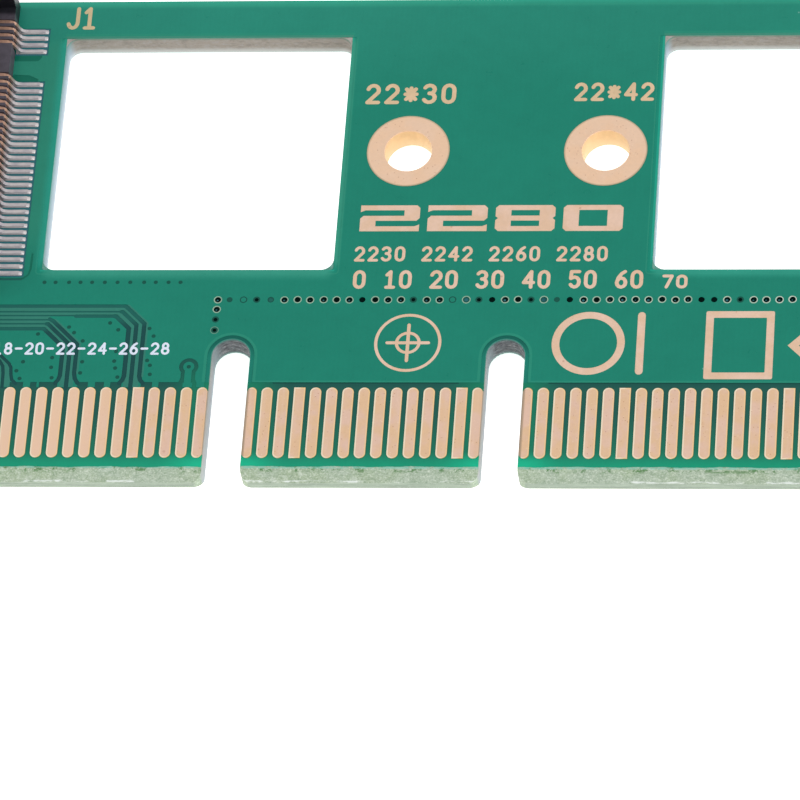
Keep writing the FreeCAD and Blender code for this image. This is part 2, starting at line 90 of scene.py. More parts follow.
# ------------------------------------------------------------------ materials
class G:
    """Small helper that builds a node tree."""

    def __init__(self, name):
        self.mat = bpy.data.materials.new(name)
        self.mat.use_nodes = True
        self.nt = self.mat.node_tree
        self.nt.nodes.clear()
        self.out = self.nt.nodes.new("ShaderNodeOutputMaterial")
        self.p = self.nt.nodes.new("ShaderNodeBsdfPrincipled")
        self.nt.links.new(self.p.outputs[0], self.out.inputs[0])
        self.co = self.nt.nodes.new("ShaderNodeTexCoord").outputs["Object"]
        self._xyz = None

    def node(self, kind, **props):
        n = self.nt.nodes.new(kind)
        for k, v in props.items():
            setattr(n, k, v)
        return n

    def put(self, sock, v):
        if isinstance(v, bpy.types.NodeSocket):
            self.nt.links.new(v, sock)
        elif isinstance(v, (tuple, list)) and len(v) == 3 and sock.type == "RGBA":
            sock.default_value = (*v, 1.0)
        else:
            sock.default_value = v

    def math(self, op, a, b=None, c=None, clamp=False):
        n = self.node("ShaderNodeMath", operation=op, use_clamp=clamp)
        self.put(n.inputs[0], a)
        if b is not None:
            self.put(n.inputs[1], b)
        if c is not None:
            self.put(n.inputs[2], c)
        return n.outputs[0]

    def xyz(self):
        """Board-frame millimetre coordinates as three sockets."""
        if self._xyz is None:
            s = self.node("ShaderNodeSeparateXYZ")
            self.put(s.inputs[0], self.co)
            self._xyz = [self.math("MULTIPLY_ADD", s.outputs[i], 1000.0, -ORG[i]) for i in range(3)]
        return self._xyz

    def noise(self, scale, detail=3.0, rough=0.55, stretch=None, distortion=0.0, w=None):
        src = self.co
        if stretch is not None:
            mp = self.node("ShaderNodeMapping")
            self.put(mp.inputs[0], self.co)
            mp.inputs["Scale"].default_value = stretch
            src = mp.outputs[0]
        n = self.node("ShaderNodeTexNoise")
        self.put(n.inputs["Vector"], src)
        n.inputs["Scale"].default_value = scale
        n.inputs["Detail"].default_value = detail
        n.inputs["Roughness"].default_value = rough
        n.inputs["Distortion"].default_value = distortion
        return n.outputs["Fac"], n.outputs["Color"]

    def voronoi(self, scale, feature="F1", stretch=None, rand=1.0):
        src = self.co
        if stretch is not None:
            mp = self.node("ShaderNodeMapping")
            self.put(mp.inputs[0], self.co)
            mp.inputs["Scale"].default_value = stretch
            src = mp.outputs[0]
        n = self.node("ShaderNodeTexVoronoi", feature=feature)
        self.put(n.inputs["Vector"], src)
        n.inputs["Scale"].default_value = scale
        n.inputs["Randomness"].default_value = rand
        return n

    def ramp(self, fac, stops, interp="LINEAR"):
        n = self.node("ShaderNodeValToRGB")
        n.color_ramp.interpolation = interp
        el = n.color_ramp.elements
        while len(el) > 1:
            el.remove(el[-1])
        first = True
        for pos, col in stops:
            if not isinstance(col, (tuple, list)):
                col = (col, col, col)
            if first:
                e = el[0]
                e.position = pos
                first = False
            else:
                e = el.new(pos)
            e.color = (*col, 1.0)
        self.put(n.inputs[0], fac)
        return n.outputs[0]

    def mix(self, fac, a, b, blend="MIX"):
        n = self.node("ShaderNodeMix", data_type="RGBA", blend_type=blend)
        self.put(n.inputs[0], fac)
        self.put(n.inputs[6], a)
        self.put(n.inputs[7], b)
        return n.outputs[2]

    def smooth(self, x, lo, hi, a=0.0, b=1.0):
        n = self.node("ShaderNodeMapRange", interpolation_type="SMOOTHSTEP", clamp=True)
        self.put(n.inputs[0], x)
        self.put(n.inputs[1], lo)
        self.put(n.inputs[2], hi)
        self.put(n.inputs[3], a)
        self.put(n.inputs[4], b)
        return n.outputs[0]

    def bump(self, height, strength=0.3, distance=1e-5, normal=None):
        n = self.node("ShaderNodeBump")
        n.inputs["Strength"].default_value = strength
        n.inputs["Distance"].default_value = distance
        self.put(n.inputs["Height"], height)
        if normal is not None:
            self.put(n.inputs["Normal"], normal)
        return n.outputs[0]

    def set(self, **kw):
        names = {"color": "Base Color", "rough": "Roughness", "metal": "Metallic",
                 "normal": "Normal", "spec": "Specular IOR Level", "coat": "Coat Weight",
                 "coat_rough": "Coat Roughness", "ior": "IOR", "aniso": "Anisotropic",
                 "sss": "Subsurface Weight", "transmission": "Transmission Weight",
                 "emit": "Emission Color", "emit_strength": "Emission Strength",
                 "alpha": "Alpha"}
        for k, v in kw.items():
            self.put(self.p.inputs[names[k]], v)
        return self.mat


def lin(r, g, b):
    """sRGB 0..255 to linear."""
    out = []
    for c in (r, g, b):
        c /= 255.0
        out.append(c / 12.92 if c <= 0.04045 else ((c + 0.055) / 1.055) ** 2.4)
    return tuple(out)


def scale_col(c, k):
    return tuple(min(1.0, v * k) for v in c)


def edge_light(g, x, y, col):
    """Light that leaks through the core near the free edges of the board."""
    def sub(a, b):
        return g.math("SUBTRACT", a, b)

    def mul(a, b):
        return g.math("MULTIPLY", a, b)

    iny = g.smooth(g.math("ABSOLUTE", g.math("ADD", y, 0.1)), 8.7, 8.0, 0.0, 1.0)
    # strip between the socket's contacts and the first window
    strip = mul(g.smooth(x, 15.6, 16.6), g.smooth(x, 20.3, 20.1, 0.0, 1.0))
    strip = mul(strip, mul(g.smooth(y, -8.6, -5.0), g.smooth(y, 8.9, 7.6, 0.0, 1.0)))
    col = g.mix(mul(strip, 0.95), col, lin(42, 134, 112))
    left = mul(mul(g.smooth(sub(20.15, x), 0.62, 0.10, 0.0, 1.0), g.smooth(x, 20.6, 20.3, 0.0, 1.0)), iny)
    col = g.mix(mul(left, 0.85), col, lin(38, 150, 131))
    for i, (x0, x1) in enumerate(((20.15, 38.41), (58.21, 68.8), (76.6, 88.8))):
        mid, hw = (x0 + x1) / 2, (x1 - x0) / 2
        inx = g.smooth(g.math("ABSOLUTE", sub(x, mid)), hw + 0.2, hw - 0.5, 0.0, 1.0)
        low = mul(mul(g.smooth(sub(-8.73, y), 0.90 if i == 0 else 0.78, 0.12, 0.0, 1.0), g.smooth(y, -8.5, -8.7, 0.0, 1.0)), inx)
        col = g.mix(low, col, lin(51, 146, 125) if i == 0 else lin(46, 149, 128))
        right = mul(mul(g.smooth(sub(x, x1), 0.48, 0.12, 0.0, 1.0), g.smooth(x, x1 - 0.3, x1 - 0.1)), iny)
        col = g.mix(mul(right, 0.9), col, lin(53, 144, 121))
    top = mul(g.smooth(sub(11.32, y), 0.66, 0.14, 0.0, 1.0), g.smooth(x, 52.0, 38.0, 0.72, 1.0))
    return g.mix(top, col, lin(50, 154, 130))


def mask_material(name, colour, kind):
    """Green solder mask. kind: copper, rim, dark, lit, tent."""
    g = G(name)
    x, y, z = g.xyz()
    big, _ = g.noise(180.0, 3.0, 0.5)
    mid, _ = g.noise(900.0, 4.0, 0.6)
    fine, _ = g.noise(7000.0, 2.0, 0.5)
    k = g.math("ADD", g.math("MULTIPLY", g.math("SUBTRACT", big, 0.5), 0.16),
               g.math("MULTIPLY", g.math("SUBTRACT", mid, 0.5), 0.14))
    k = g.math("ADD", k, g.math("MULTIPLY", g.math("SUBTRACT", fine, 0.5), 0.10))
    k = g.math("ADD", k, 1.0)
    col = colour
    if kind == "dark":
        # light that leaks through the laminate beside the slots and along the bevel
        glow = None
        for cx, hw in ((10.5, 0.95), (32.53, 1.19), (49.52, 1.19), (-1.9, 0.3), (83.3, 0.3)):
            d = g.math("ABSOLUTE", g.math("SUBTRACT", x, cx))
            f = g.smooth(d, hw, hw + 2.8, 1.0, 0.0)
            glow = f if glow is None else g.math("MAXIMUM", glow, f)
        low = g.smooth(y, -14.9, -17.1)
        glow = g.math("MULTIPLY", glow, low)
        # painted shadow just below the copper's lower edge; further down, painted light growing towards the bevel
        col = g.mix(g.math("MULTIPLY", g.smooth(y, -17.35, -16.95), 0.75), colour, lin(24, 81, 74))
        col = g.mix(g.math("MULTIPLY", glow, 0.78), col, lin(18, 128, 96))
        low_end = g.smooth(y, -18.6, -22.3)
        col = g.mix(g.math("MULTIPLY", low_end, 0.78), col, lin(26, 118, 92))
        bottom = g.smooth(y, -21.6, -22.75)
        col = g.mix(bottom, col, lin(23, 146, 113))
        col = g.mix(g.math("MULTIPLY", g.math("MULTIPLY", glow, bottom), 0.82), col, lin(26, 184, 142))
    if kind == "gap":
        # paler and softer along the run under the windows
        pale = g.math("MAXIMUM", g.smooth(y, -12.95, -12.25),
                      g.math("MULTIPLY", g.smooth(y, -13.35, -13.05), g.smooth(x, 21.3, 20.6, 0.0, 1.0)))
        col = g.mix(g.math("MULTIPLY", pale, 0.9), colour, lin(28, 97, 88))
    if kind == "ring":
        # beside the slots the clearance is dark at the top and brighter down the sides
        col = g.mix(g.smooth(y, -13.75, -15.3), colour, lin(22, 120, 103))
    if kind == "copper":
        # painted sheen: the pour is painted lighter towards the top of the board, a little less towards its right end
        lift = g.math("MULTIPLY", g.smooth(y, 2.5, 11.3), g.smooth(x, 40.0, 48.0, 1.0, 0.75))
        col = g.mix(lift, colour, lin(36, 131.5, 112.5))
        # faint weave of the cloth under the copper and a few specks of dust
        wv = g.node("ShaderNodeTexWave", wave_type="BANDS", bands_direction="X")
        g.put(wv.inputs["Vector"], g.co)
        wv.inputs["Scale"].default_value = 1000.0
        wv.inputs["Distortion"].default_value = 1.5
        wv.inputs["Detail"].default_value = 2.0
        k = g.math("ADD", k, g.math("MULTIPLY", g.math("SUBTRACT", wv.outputs["Fac"], 0.5), 0.015))
    if kind in ("copper", "rim"):
        col = edge_light(g, x, y, col)
    if name == "mask_along_edge":
        # the bright line dies away into the near corners of the windows
        dim = g.math("MULTIPLY", g.smooth(y, -7.7, -8.5), g.smooth(y, -8.76, -8.72))
        col = g.mix(g.math("MULTIPLY", dim, 0.75), col, lin(30, 126, 106))
    kc = g.node("ShaderNodeCombineColor")
    for i in range(3):
        g.put(kc.inputs[i], k)
    col = g.mix(1.0, col, kc.outputs[0], "MULTIPLY")
    # dust: small pale specks, only in a few cells
    v = g.voronoi(620.0)
    dot = g.smooth(v.outputs["Distance"], 0.030, 0.055, 1.0, 0.0)
    pick = g.node("ShaderNodeSeparateColor")
    g.put(pick.inputs[0], v.outputs["Color"])
    some = g.smooth(pick.outputs[0], 0.90, 0.93)
    dust = g.math("MULTIPLY", g.math("MULTIPLY", dot, some), 0.42)
    col = g.mix(dust, col, lin(150, 195, 180))
    # hair scratches
    s = g.voronoi(95.0, stretch=(1.0, 0.16, 1.0))
    line = g.smooth(s.outputs["Distance"], 0.0105, 0.0145, 1.0, 0.0)
    pk = g.node("ShaderNodeSeparateColor")
    g.put(pk.inputs[0], s.outputs["Color"])
    line = g.math("MULTIPLY", g.math("MULTIPLY", line, g.smooth(pk.outputs[1], 0.80, 0.86)), 0.30)
    col = g.mix(line, col, lin(120, 180, 165))
    bump = g.bump(mid, 0.25, 6e-6)
    bump = g.bump(fine, 0.20, 2.0e-6, bump)
    rough = g.smooth(mid, 0.2, 0.8, 0.26, 0.40)
    return g.set(color=col, rough=rough, normal=bump, spec=0.16)


def gold_material(name, kind):
    """Matt immersion gold. kind: fingers, rings, print, dull."""
    g = G(name)
    x, y, z = g.xyz()
    patch, _ = g.noise(620.0, 3.0, 0.6)
    patch2, _ = g.noise(1300.0, 3.0, 0.6, stretch=(1.0, 0.5, 1.0))
    grain, _ = g.noise(5200.0, 4.0, 0.65)
    fine, _ = g.noise(9000.0, 3.0, 0.6)
    if kind == "dull":
        near = g.smooth(x, 27.0, 24.0, 0.0, 1.0)
        a = g.mix(near, lin(231, 198, 162), lin(216, 192, 152))
        b = g.mix(near, lin(221, 191, 154), lin(206, 186, 146))
    elif kind == "print":
        a, b = lin(236, 202, 180), lin(231, 195, 166)
    elif kind == "rings":
        a, b = lin(239, 204, 176), lin(240, 202, 170)
    else:
        a, b = lin(231, 195, 174), lin(231, 193, 156)
    col = g.mix(g.smooth(patch, 0.38, 0.62), a, b)
    col = g.mix(g.math("MULTIPLY", g.smooth(patch2, 0.55, 0.75), 0.22 if kind == "rings" else 0.45), col,
                lin(232, 190, 158))
    # brushed grain
    spread = 0.22 if kind == "print" else 0.14
    k = g.math("ADD", 1.0 - spread / 2, g.math("MULTIPLY", grain, spread))
    kc = g.node("ShaderNodeCombineColor")
    for i in range(3):
        g.put(kc.inputs[i], k)
    col = g.mix(1.0, col, kc.outputs[0], "MULTIPLY")
    v = g.voronoi(2400.0)
    pick = g.node("ShaderNodeSeparateColor")
    g.put(pick.inputs[0], v.outputs["Color"])
    pit = g.math("MULTIPLY", g.smooth(v.outputs["Distance"], 0.10, 0.24, 1.0, 0.0),
                 g.smooth(pick.outputs[0], 0.94, 0.95))
    col = g.mix(g.math("MULTIPLY", pit, 0.16 if kind == "rings" else 0.42), col, lin(176, 126, 96))
    if kind in ("fingers", "rings"):
        # tiny dark and bright grains
        v2 = g.voronoi(9000.0)
        pk2 = g.node("ShaderNodeSeparateColor")
        g.put(pk2.inputs[0], v2.outputs["Color"])
        spark = g.math("MULTIPLY", g.smooth(v2.outputs["Distance"], 0.15, 0.42, 1.0, 0.0), g.smooth(pk2.outputs[0], 0.955, 0.965))
        col = g.mix(g.math("MULTIPLY", spark, 0.55), col, lin(250, 226, 200))
        dark = g.math("MULTIPLY", g.smooth(v2.outputs["Distance"], 0.18, 0.46, 1.0, 0.0), g.smooth(pk2.outputs[1], 0.940, 0.950))
        col = g.mix(g.math("MULTIPLY", dark, 0.60), col, lin(186, 132, 104))
    if kind == "fingers":
        # the plating stands proud along each contact's rim and catches light
        num = g.math("ROUND", x)
        n = g.math("SUBTRACT", x, num)
        dx = g.math("ABSOLUTE", n)
        ly = g.math("SUBTRACT", g.math("ABSOLUTE", g.math("ADD", y, 19.725)), 2.145)
        dy = g.math("MAXIMUM", ly, 0.0)
        d_round = g.math("SQRT", g.math("ADD", g.math("MULTIPLY", dx, dx), g.math("MULTIPLY", dy, dy)))
        d_square = g.math("MAXIMUM", dx, ly)
        # the square contacts: one in ten
        tens = g.math("LESS_THAN", g.math("PINGPONG", g.math("ADD", num, 3.0), 5.0), 0.5)
        tens = g.math("MULTIPLY", tens, g.math("GREATER_THAN", x, 11.5))
        five = g.math("LESS_THAN", g.math("ABSOLUTE", g.math("SUBTRACT", num, 5.0)), 0.5)
        sq = g.math("MAXIMUM", tens, five)
        mixd = g.node("ShaderNodeMix", data_type="FLOAT")
        g.put(mixd.inputs[0], sq)
        g.put(mixd.inputs[2], d_round)
        g.put(mixd.inputs[3], d_square)
        d = mixd.outputs[0]
        # the run nearest the socket is paler, the contacts at a slot's wall are in shade
        pale = g.smooth(x, 29.5, 22.5)
        col = g.mix(g.math("MULTIPLY", pale, 0.85), col, lin(241, 204, 175))
        for bx in (34.0, 51.0):
            shade = g.math("LESS_THAN", g.math("ABSOLUTE", g.math("SUBTRACT", x, bx)), 0.5)
            shade = g.math("MULTIPLY", shade, g.smooth(n, -0.08, -0.17))
            slot_edge_shade = g.math("MAXIMUM", slot_edge_shade, shade) if bx > 40 else shade
        rim = g.smooth(d, 0.240, 0.300)
        side = g.smooth(n, -0.15, 0.22)
        edge_col = g.mix(side, lin(250, 232, 204), lin(250, 212, 152))
        col = g.mix(g.math("MULTIPLY", rim, g.math("SUBTRACT", 0.95, g.math("MULTIPLY", side, 0.15))), col, edge_col)
        # painted shadow: a thin dark line along each contact's outer edge, strongest on its right side
        outer = g.smooth(d, 0.337, 0.350)
        col = g.mix(g.math("MULTIPLY", outer, g.math("MULTIPLY", side, 0.75)), col, lin(150, 116, 74))
        # painted shade on the left edge of the contacts beside the two slots
        col = g.mix(g.math("MULTIPLY", slot_edge_shade, 0.85), col, lin(168, 146, 122))
        streak, _ = g.noise(3400.0, 2.0, 0.5, stretch=(1.0, 0.04, 1.0))
        col = g.mix(g.math("MULTIPLY", g.smooth(streak, 0.5, 0.75), 0.22), col, lin(240, 208, 188))
    if kind == "rings":
        best = None
        for hx in (42.52, 54.89, 72.9, 92.9):
            ax = g.math("SUBTRACT", x, hx)
            ay = g.math("ADD", y, 0.05)
            d = g.math("SQRT", g.math("ADD", g.math("MULTIPLY", ax, ax), g.math("MULTIPLY", ay, ay)))
            best = d if best is None else g.math("MINIMUM", best, d)
        wall = g.smooth(best, 1.51, 1.60, 1.0, 0.0)
        # painted shade on the outermost lip of each ring, where it stands a little proud of the mask
        lip = g.smooth(best, 2.47, 2.57)
        col = g.mix(g.math("MULTIPLY", lip, 0.60), col, lin(160, 154, 122))
        barrel = g.mix(g.smooth(patch2, 0.35, 0.65), lin(242, 206, 158), lin(233, 197, 149))
        barrel = g.mix(g.smooth(z, -0.5, -1.6), barrel, lin(240, 210, 168))
        col = g.mix(g.math("MULTIPLY", wall, g.smooth(z, 0.02, -0.12)), col, barrel)
    bump = g.bump(fine, 0.35, 2.5e-6)
    bump = g.bump(patch, 0.20, 8e-6, bump)
    rough = g.smooth(fine, 0.2, 0.8, 0.42, 0.56)
    return g.set(color=col, metal=0.35, rough=rough, normal=bump, spec=0.3)


def laminate_material():
    """Glass-fibre core: routed walls, bevels and drilled holes."""
    g = G("laminate")
    x, y, z = g.xyz()
    geo = g.node("ShaderNodeNewGeometry")
    nrm = g.node("ShaderNodeSeparateXYZ")
    g.put(nrm.inputs[0], geo.outputs["True Normal"])
    lay, _ = g.noise(1500.0, 4.0, 0.65, stretch=(0.5, 0.5, 2.2))
    spot, _ = g.noise(5200.0, 4.0, 0.7)
    clump, _ = g.noise(2600.0, 3.0, 0.7, stretch=(0.8, 0.8, 1.5))
    depth = g.math("MULTIPLY", z, -1.0 / BT)             # 0 at the component face, 1 at the solder face
    in_slot = None
    for cx, hw in ((10.5, 0.95), (32.53, 1.19), (49.52, 1.19)):
        f = g.smooth(g.math("ABSOLUTE", g.math("SUBTRACT", x, cx)), hw + 0.30, hw + 0.12)
        in_slot = f if in_slot is None else g.math("MAXIMUM", in_slot, f)
    in_slot = g.math("MULTIPLY", in_slot, g.smooth(y, -12.4, -13.0))
    # walls turned to the front: brown-grey in the windows, mauve-grey in the slots
    wall = g.mix(in_slot, lin(143, 134, 124), lin(101, 106, 110))
    wall = g.mix(g.math("MULTIPLY", g.smooth(lay, 0.38, 0.66), 0.7), wall, g.mix(in_slot, lin(152, 144, 134), lin(122, 122, 126)))
    mott = g.mix(in_slot, (0.30, 0.30, 0.30), (1.0, 1.0, 1.0))
    wall = g.mix(g.math("MULTIPLY", g.math("MULTIPLY", g.smooth(clump, 0.52, 0.62), 0.75), mott), wall, lin(72, 70, 76))
    wall = g.mix(g.math("MULTIPLY", g.math("MULTIPLY", g.smooth(clump, 0.47, 0.36), 0.75), mott), wall, lin(158, 158, 162))
    wall = g.mix(g.math("MULTIPLY", g.smooth(spot, 0.54, 0.72), 0.25), wall, lin(84, 80, 84))
    wall = g.mix(g.math("MULTIPLY", g.smooth(spot, 0.44, 0.30), 0.25), wall, lin(176, 174, 176))
    # green shows through at both faces; painted light: the window walls are painted paler towards the solder face, lit
    # from the white floor below
    rim = g.smooth(depth, 0.16, 0.02)
    wall = g.mix(g.math("MULTIPLY", rim, 0.80), wall, g.mix(in_slot, lin(92, 128, 112), lin(66, 122, 116)))
    foot_t = g.smooth(depth, 0.80, 1.0)
    wall = g.mix(g.math("MULTIPLY", foot_t, g.math("MULTIPLY", in_slot, 0.75)), wall, lin(92, 132, 128))
    wall = g.mix(g.math("MULTIPLY", g.smooth(depth, 0.90, 1.0), g.math("MULTIPLY", in_slot, 0.8)), wall, lin(168, 192, 188))
    foot_w = g.smooth(depth, 0.60, 1.0)
    wall = g.mix(g.math("MULTIPLY", foot_w, g.math("SUBTRACT", 0.85, g.math("MULTIPLY", in_slot, 0.85))), wall, lin(192, 194, 192))
    # walls turned to the lamp
    win_side = g.ramp(depth, ((0.0, lin(96, 140, 136)), (0.18, lin(118, 154, 157)), (0.42, lin(144, 168, 177)),
                              (0.65, lin(162, 178, 189)), (0.85, lin(180, 190, 200)), (1.0, lin(206, 212, 218))))
    slot_side = g.ramp(depth, ((0.0, lin(160, 154, 146)), (0.14, lin(172, 170, 167)), (0.6, lin(171, 173, 176)),
                               (0.85, lin(176, 184, 194)), (1.0, lin(200, 208, 218))))
    # painted shade: the lamp-side walls of the slots darker towards the slots' rounded ends
    slot_side = g.mix(g.math("MULTIPLY", g.smooth(y, -16.2, -14.3), 0.85), slot_side, lin(132, 147, 151))
    lampside = g.mix(in_slot, win_side, slot_side)
    lampside = g.mix(g.math("MULTIPLY", g.smooth(spot, 0.5, 0.7), 0.22), lampside, lin(140, 140, 150))
    low_lit = g.smooth(y, -19.0, -23.2)
    lampside = g.mix(g.math("MULTIPLY", low_lit, 0.35), lampside, lin(176, 190, 184))
    xs = g.smooth(nrm.outputs[0], g.math("ADD", 0.42, g.math("MULTIPLY", in_slot, 0.13)), 0.98)
    wall = g.mix(g.math("MULTIPLY", xs, 0.92), wall, lampside)

    # bevels: cut across the cloth, pale green-grey, mottled and fibrous
    big, _ = g.noise(330.0, 3.0, 0.6)
    n1, _ = g.noise(2300.0, 5.0, 0.75)
    n2, _ = g.noise(6800.0, 4.0, 0.75, stretch=(0.7, 1.0, 1.0))
    n3, _ = g.noise(4200.0, 2.0, 0.6, stretch=(0.55, 1.0, 1.2))
    n4, _ = g.noise(13000.0, 2.0, 0.6, stretch=(0.8, 1.0, 1.0))
    green = g.smooth(big, 0.42, 0.62)
    for ex in (-1.65, 9.55, 11.45, 31.34, 33.72, 48.33, 50.71, 83.0):
        green = g.math("MAXIMUM", green, g.smooth(g.math("ABSOLUTE", g.math("SUBTRACT", x, ex)), 0.3, 2.4, 0.8, 0.0))
    run = g.smooth(y, -22.85, -23.62)                     # 0 where the mask ends, 1 at the corner
    bev = g.mix(g.math("MULTIPLY", green, 0.75), g.mix(run, lin(163, 179, 158), lin(166, 181, 161)),
                g.mix(run, lin(159, 178, 146), lin(162, 178, 148)))
    bev = g.mix(g.math("MULTIPLY", g.smooth(n1, 0.50, 0.66), 0.45), bev, lin(138, 158, 136))
    bev = g.mix(g.math("MULTIPLY", g.smooth(n1, 0.46, 0.34), 0.40), bev, lin(194, 204, 190))
    bev = g.mix(g.math("MULTIPLY", g.smooth(n2, 0.53, 0.68), 0.55), bev, lin(128, 146, 128))
    bev = g.mix(g.math("MULTIPLY", g.smooth(n2, 0.47, 0.33), 0.55), bev, lin(210, 218, 206))
    bev = g.mix(g.math("MULTIPLY", g.smooth(n3, 0.55, 0.66), 0.40), bev, lin(136, 156, 132))
    bev = g.mix(g.math("MULTIPLY", g.smooth(n3, 0.45, 0.34), 0.38), bev, lin(204, 213, 201))
    bev = g.mix(g.math("MULTIPLY", g.smooth(n4, 0.54, 0.66), 0.45), bev, lin(126, 142, 118))
    bev = g.mix(g.math("MULTIPLY", g.smooth(n4, 0.46, 0.34), 0.45), bev, lin(220, 226, 212))
    # dark green cut ends of cloth below the mask
    fl, _ = g.noise(1500.0, 4.0, 0.7, stretch=(0.8, 1.3, 1.0), distortion=0.6)
    near = g.smooth(y, -23.22, -22.96)
    fleck = g.math("MULTIPLY", g.smooth(fl, 0.530, 0.59), near)
    fleck = g.math("MULTIPLY", fleck, g.smooth(n2, 0.36, 0.5))
    bev = g.mix(g.math("MULTIPLY", fleck, 0.90), bev, lin(78, 122, 70))
    # bright line of resin where the mask ends
    line = g.math("MULTIPLY", g.smooth(y, -22.94, -22.86), g.smooth(n1, 0.66, 0.44))
    bev = g.mix(g.math("MULTIPLY", line, 0.85), bev, lin(128, 186, 168))
    # white torn fibres along the lower corner
    st, _ = g.noise(620.0, 2.0, 0.5, stretch=(1.0, 3.0, 3.0))
    sf, _ = g.noise(5200.0, 2.0, 0.5, stretch=(0.3, 1.0, 1.0))
    corner = g.smooth(g.math("ABSOLUTE", g.math("ADD", z, 0.455)), 0.012, 0.050, 1.0, 0.0)
    fib = g.math("MULTIPLY", corner, g.math("MULTIPLY", g.smooth(st, 0.50, 0.60), g.smooth(sf, 0.36, 0.52)))
    bev = g.mix(g.math("MULTIPLY", fib, 0.80), bev, lin(232, 238, 234))
    # the flat at the foot is layered and a little darker
    foot = g.math("MULTIPLY", g.smooth(nrm.outputs[1], -0.90, -0.97), g.smooth(z, -0.49, -0.54))
    bands, _ = g.noise(2600.0, 3.0, 0.6, stretch=(0.12, 1.0, 2.4))
    footc = g.mix(g.smooth(bands, 0.36, 0.62), lin(160, 174, 156), lin(140, 153, 138))
    footc = g.mix(g.math("MULTIPLY", g.smooth(n2, 0.47, 0.33), 0.30), footc, lin(186, 196, 184))
    bev = g.mix(g.math("MULTIPLY", foot, 0.90), bev, footc)
    slope = g.smooth(g.math("ABSOLUTE", nrm.outputs[2]), 0.3, 0.6)
    low = g.smooth(y, -22.61, -22.77)
    is_bev = g.math("MULTIPLY", low, g.math("MAXIMUM", slope, g.smooth(nrm.outputs[1], -0.3, -0.6)))
    col = g.mix(is_bev, wall, bev)
    # bare face of the core, seen at the window corners
    face = g.math("MULTIPLY", g.smooth(g.math("ABSOLUTE", nrm.outputs[2]), 0.9, 0.98), g.math("SUBTRACT", 1.0, low))
    bare = g.mix(g.smooth(spot, 0.4, 0.65), lin(110, 158, 146), lin(76, 136, 120))
    bare = g.mix(g.smooth(y, 7.0, 8.0), bare, g.mix(g.smooth(spot, 0.4, 0.65), lin(170, 164, 158), lin(154, 147, 140)))
    bare = g.mix(g.smooth(y, -16.5, -17.2), bare, lin(176, 160, 146))
    col = g.mix(face, col, bare)
    b1 = g.bump(n2, 0.9, 2.2e-5)
    b1 = g.bump(spot, 0.5, 1.5e-5, b1)
    rough = g.smooth(n1, 0.2, 0.8, 0.55, 0.8)
    return g.set(color=col, rough=rough, normal=b1, spec=0.25)


def plastic_material(name, colour, rough=0.5, tint=None, spec=0.4, bumpd=6e-6):
    g = G(name)
    n, _ = g.noise(1400.0, 4.0, 0.6)
    f, _ = g.noise(9000.0, 2.0, 0.5)
    col = g.mix(g.smooth(n, 0.3, 0.7), colour, tint if tint else scale_col(colour, 1.5))
    b = g.bump(f, 0.4, bumpd)
    return g.set(color=col, rough=g.smooth(n, 0.2, 0.8, rough - 0.08, rough + 0.1), normal=b, spec=spec)


def housing_material():
    """Black glass-filled moulding; the comb between the contacts is painted a lighter grey, a painted highlight."""
    g = G("socket_black")
    x, y, z = g.xyz()
    n, _ = g.noise(1400.0, 4.0, 0.6)
    f, _ = g.noise(9000.0, 2.0, 0.5)
    ends = g.smooth(g.math("ABSOLUTE", y), 9.35, 9.75)
    comb = g.mix(g.smooth(n, 0.3, 0.7), lin(70, 65, 73), lin(86, 80, 90))
    dark = g.mix(g.smooth(n, 0.3, 0.7), lin(16, 16, 23), lin(27, 27, 34))
    col = g.mix(ends, comb, dark)
    col = g.mix(g.smooth(x, 15.2, 14.6), col, dark)
    fibres = g.voronoi(1600.0, stretch=(0.4, 1.6, 1.6))
    pf = g.node("ShaderNodeSeparateColor")
    g.put(pf.inputs[0], fibres.outputs["Color"])
    fl = g.math("MULTIPLY", g.smooth(fibres.outputs["Distance"], 0.05, 0.16, 1.0, 0.0), g.smooth(pf.outputs[0], 0.8, 0.82))
    col = g.mix(g.math("MULTIPLY", fl, 0.35), col, lin(110, 106, 116))
    b = g.bump(f, 0.4, 6e-6)
    return g.set(color=col, rough=g.smooth(n, 0.2, 0.8, 0.36, 0.52), normal=b, spec=0.4)


def metal_material(name, a, b, rough=0.3, stretch=None, streak=900.0, metal=1.0):
    g = G(name)
    n, _ = g.noise(streak, 4.0, 0.6, stretch=stretch)
    f, _ = g.noise(6500.0, 2.0, 0.5)
    col = g.mix(g.smooth(n, 0.3, 0.7), a, b)
    bump = g.bump(n, 0.25, 4e-6)
    bump = g.bump(f, 0.2, 1.5e-6, bump)
    return g.set(color=col, metal=metal, rough=g.smooth(n, 0.2, 0.8, rough - 0.06, rough + 0.10), normal=bump)


def via_ring_material():
    """Tinned lands of the vias, half under the mask towards the socket."""
    g = G("via_copper")
    x, y, z = g.xyz()
    n, _ = g.noise(2600.0, 3.0, 0.6)
    col = g.mix(g.smooth(x, 46.0, 58.0), lin(154, 182, 160), lin(178, 198, 178))
    col = g.mix(g.smooth(x, 62.0, 67.0), col, lin(200, 212, 196))
    col = g.mix(g.math("MULTIPLY", g.smooth(n, 0.35, 0.65), 0.35), col, lin(120, 165, 145))
    return g.set(color=col, rough=0.5, metal=0.15, spec=0.25)


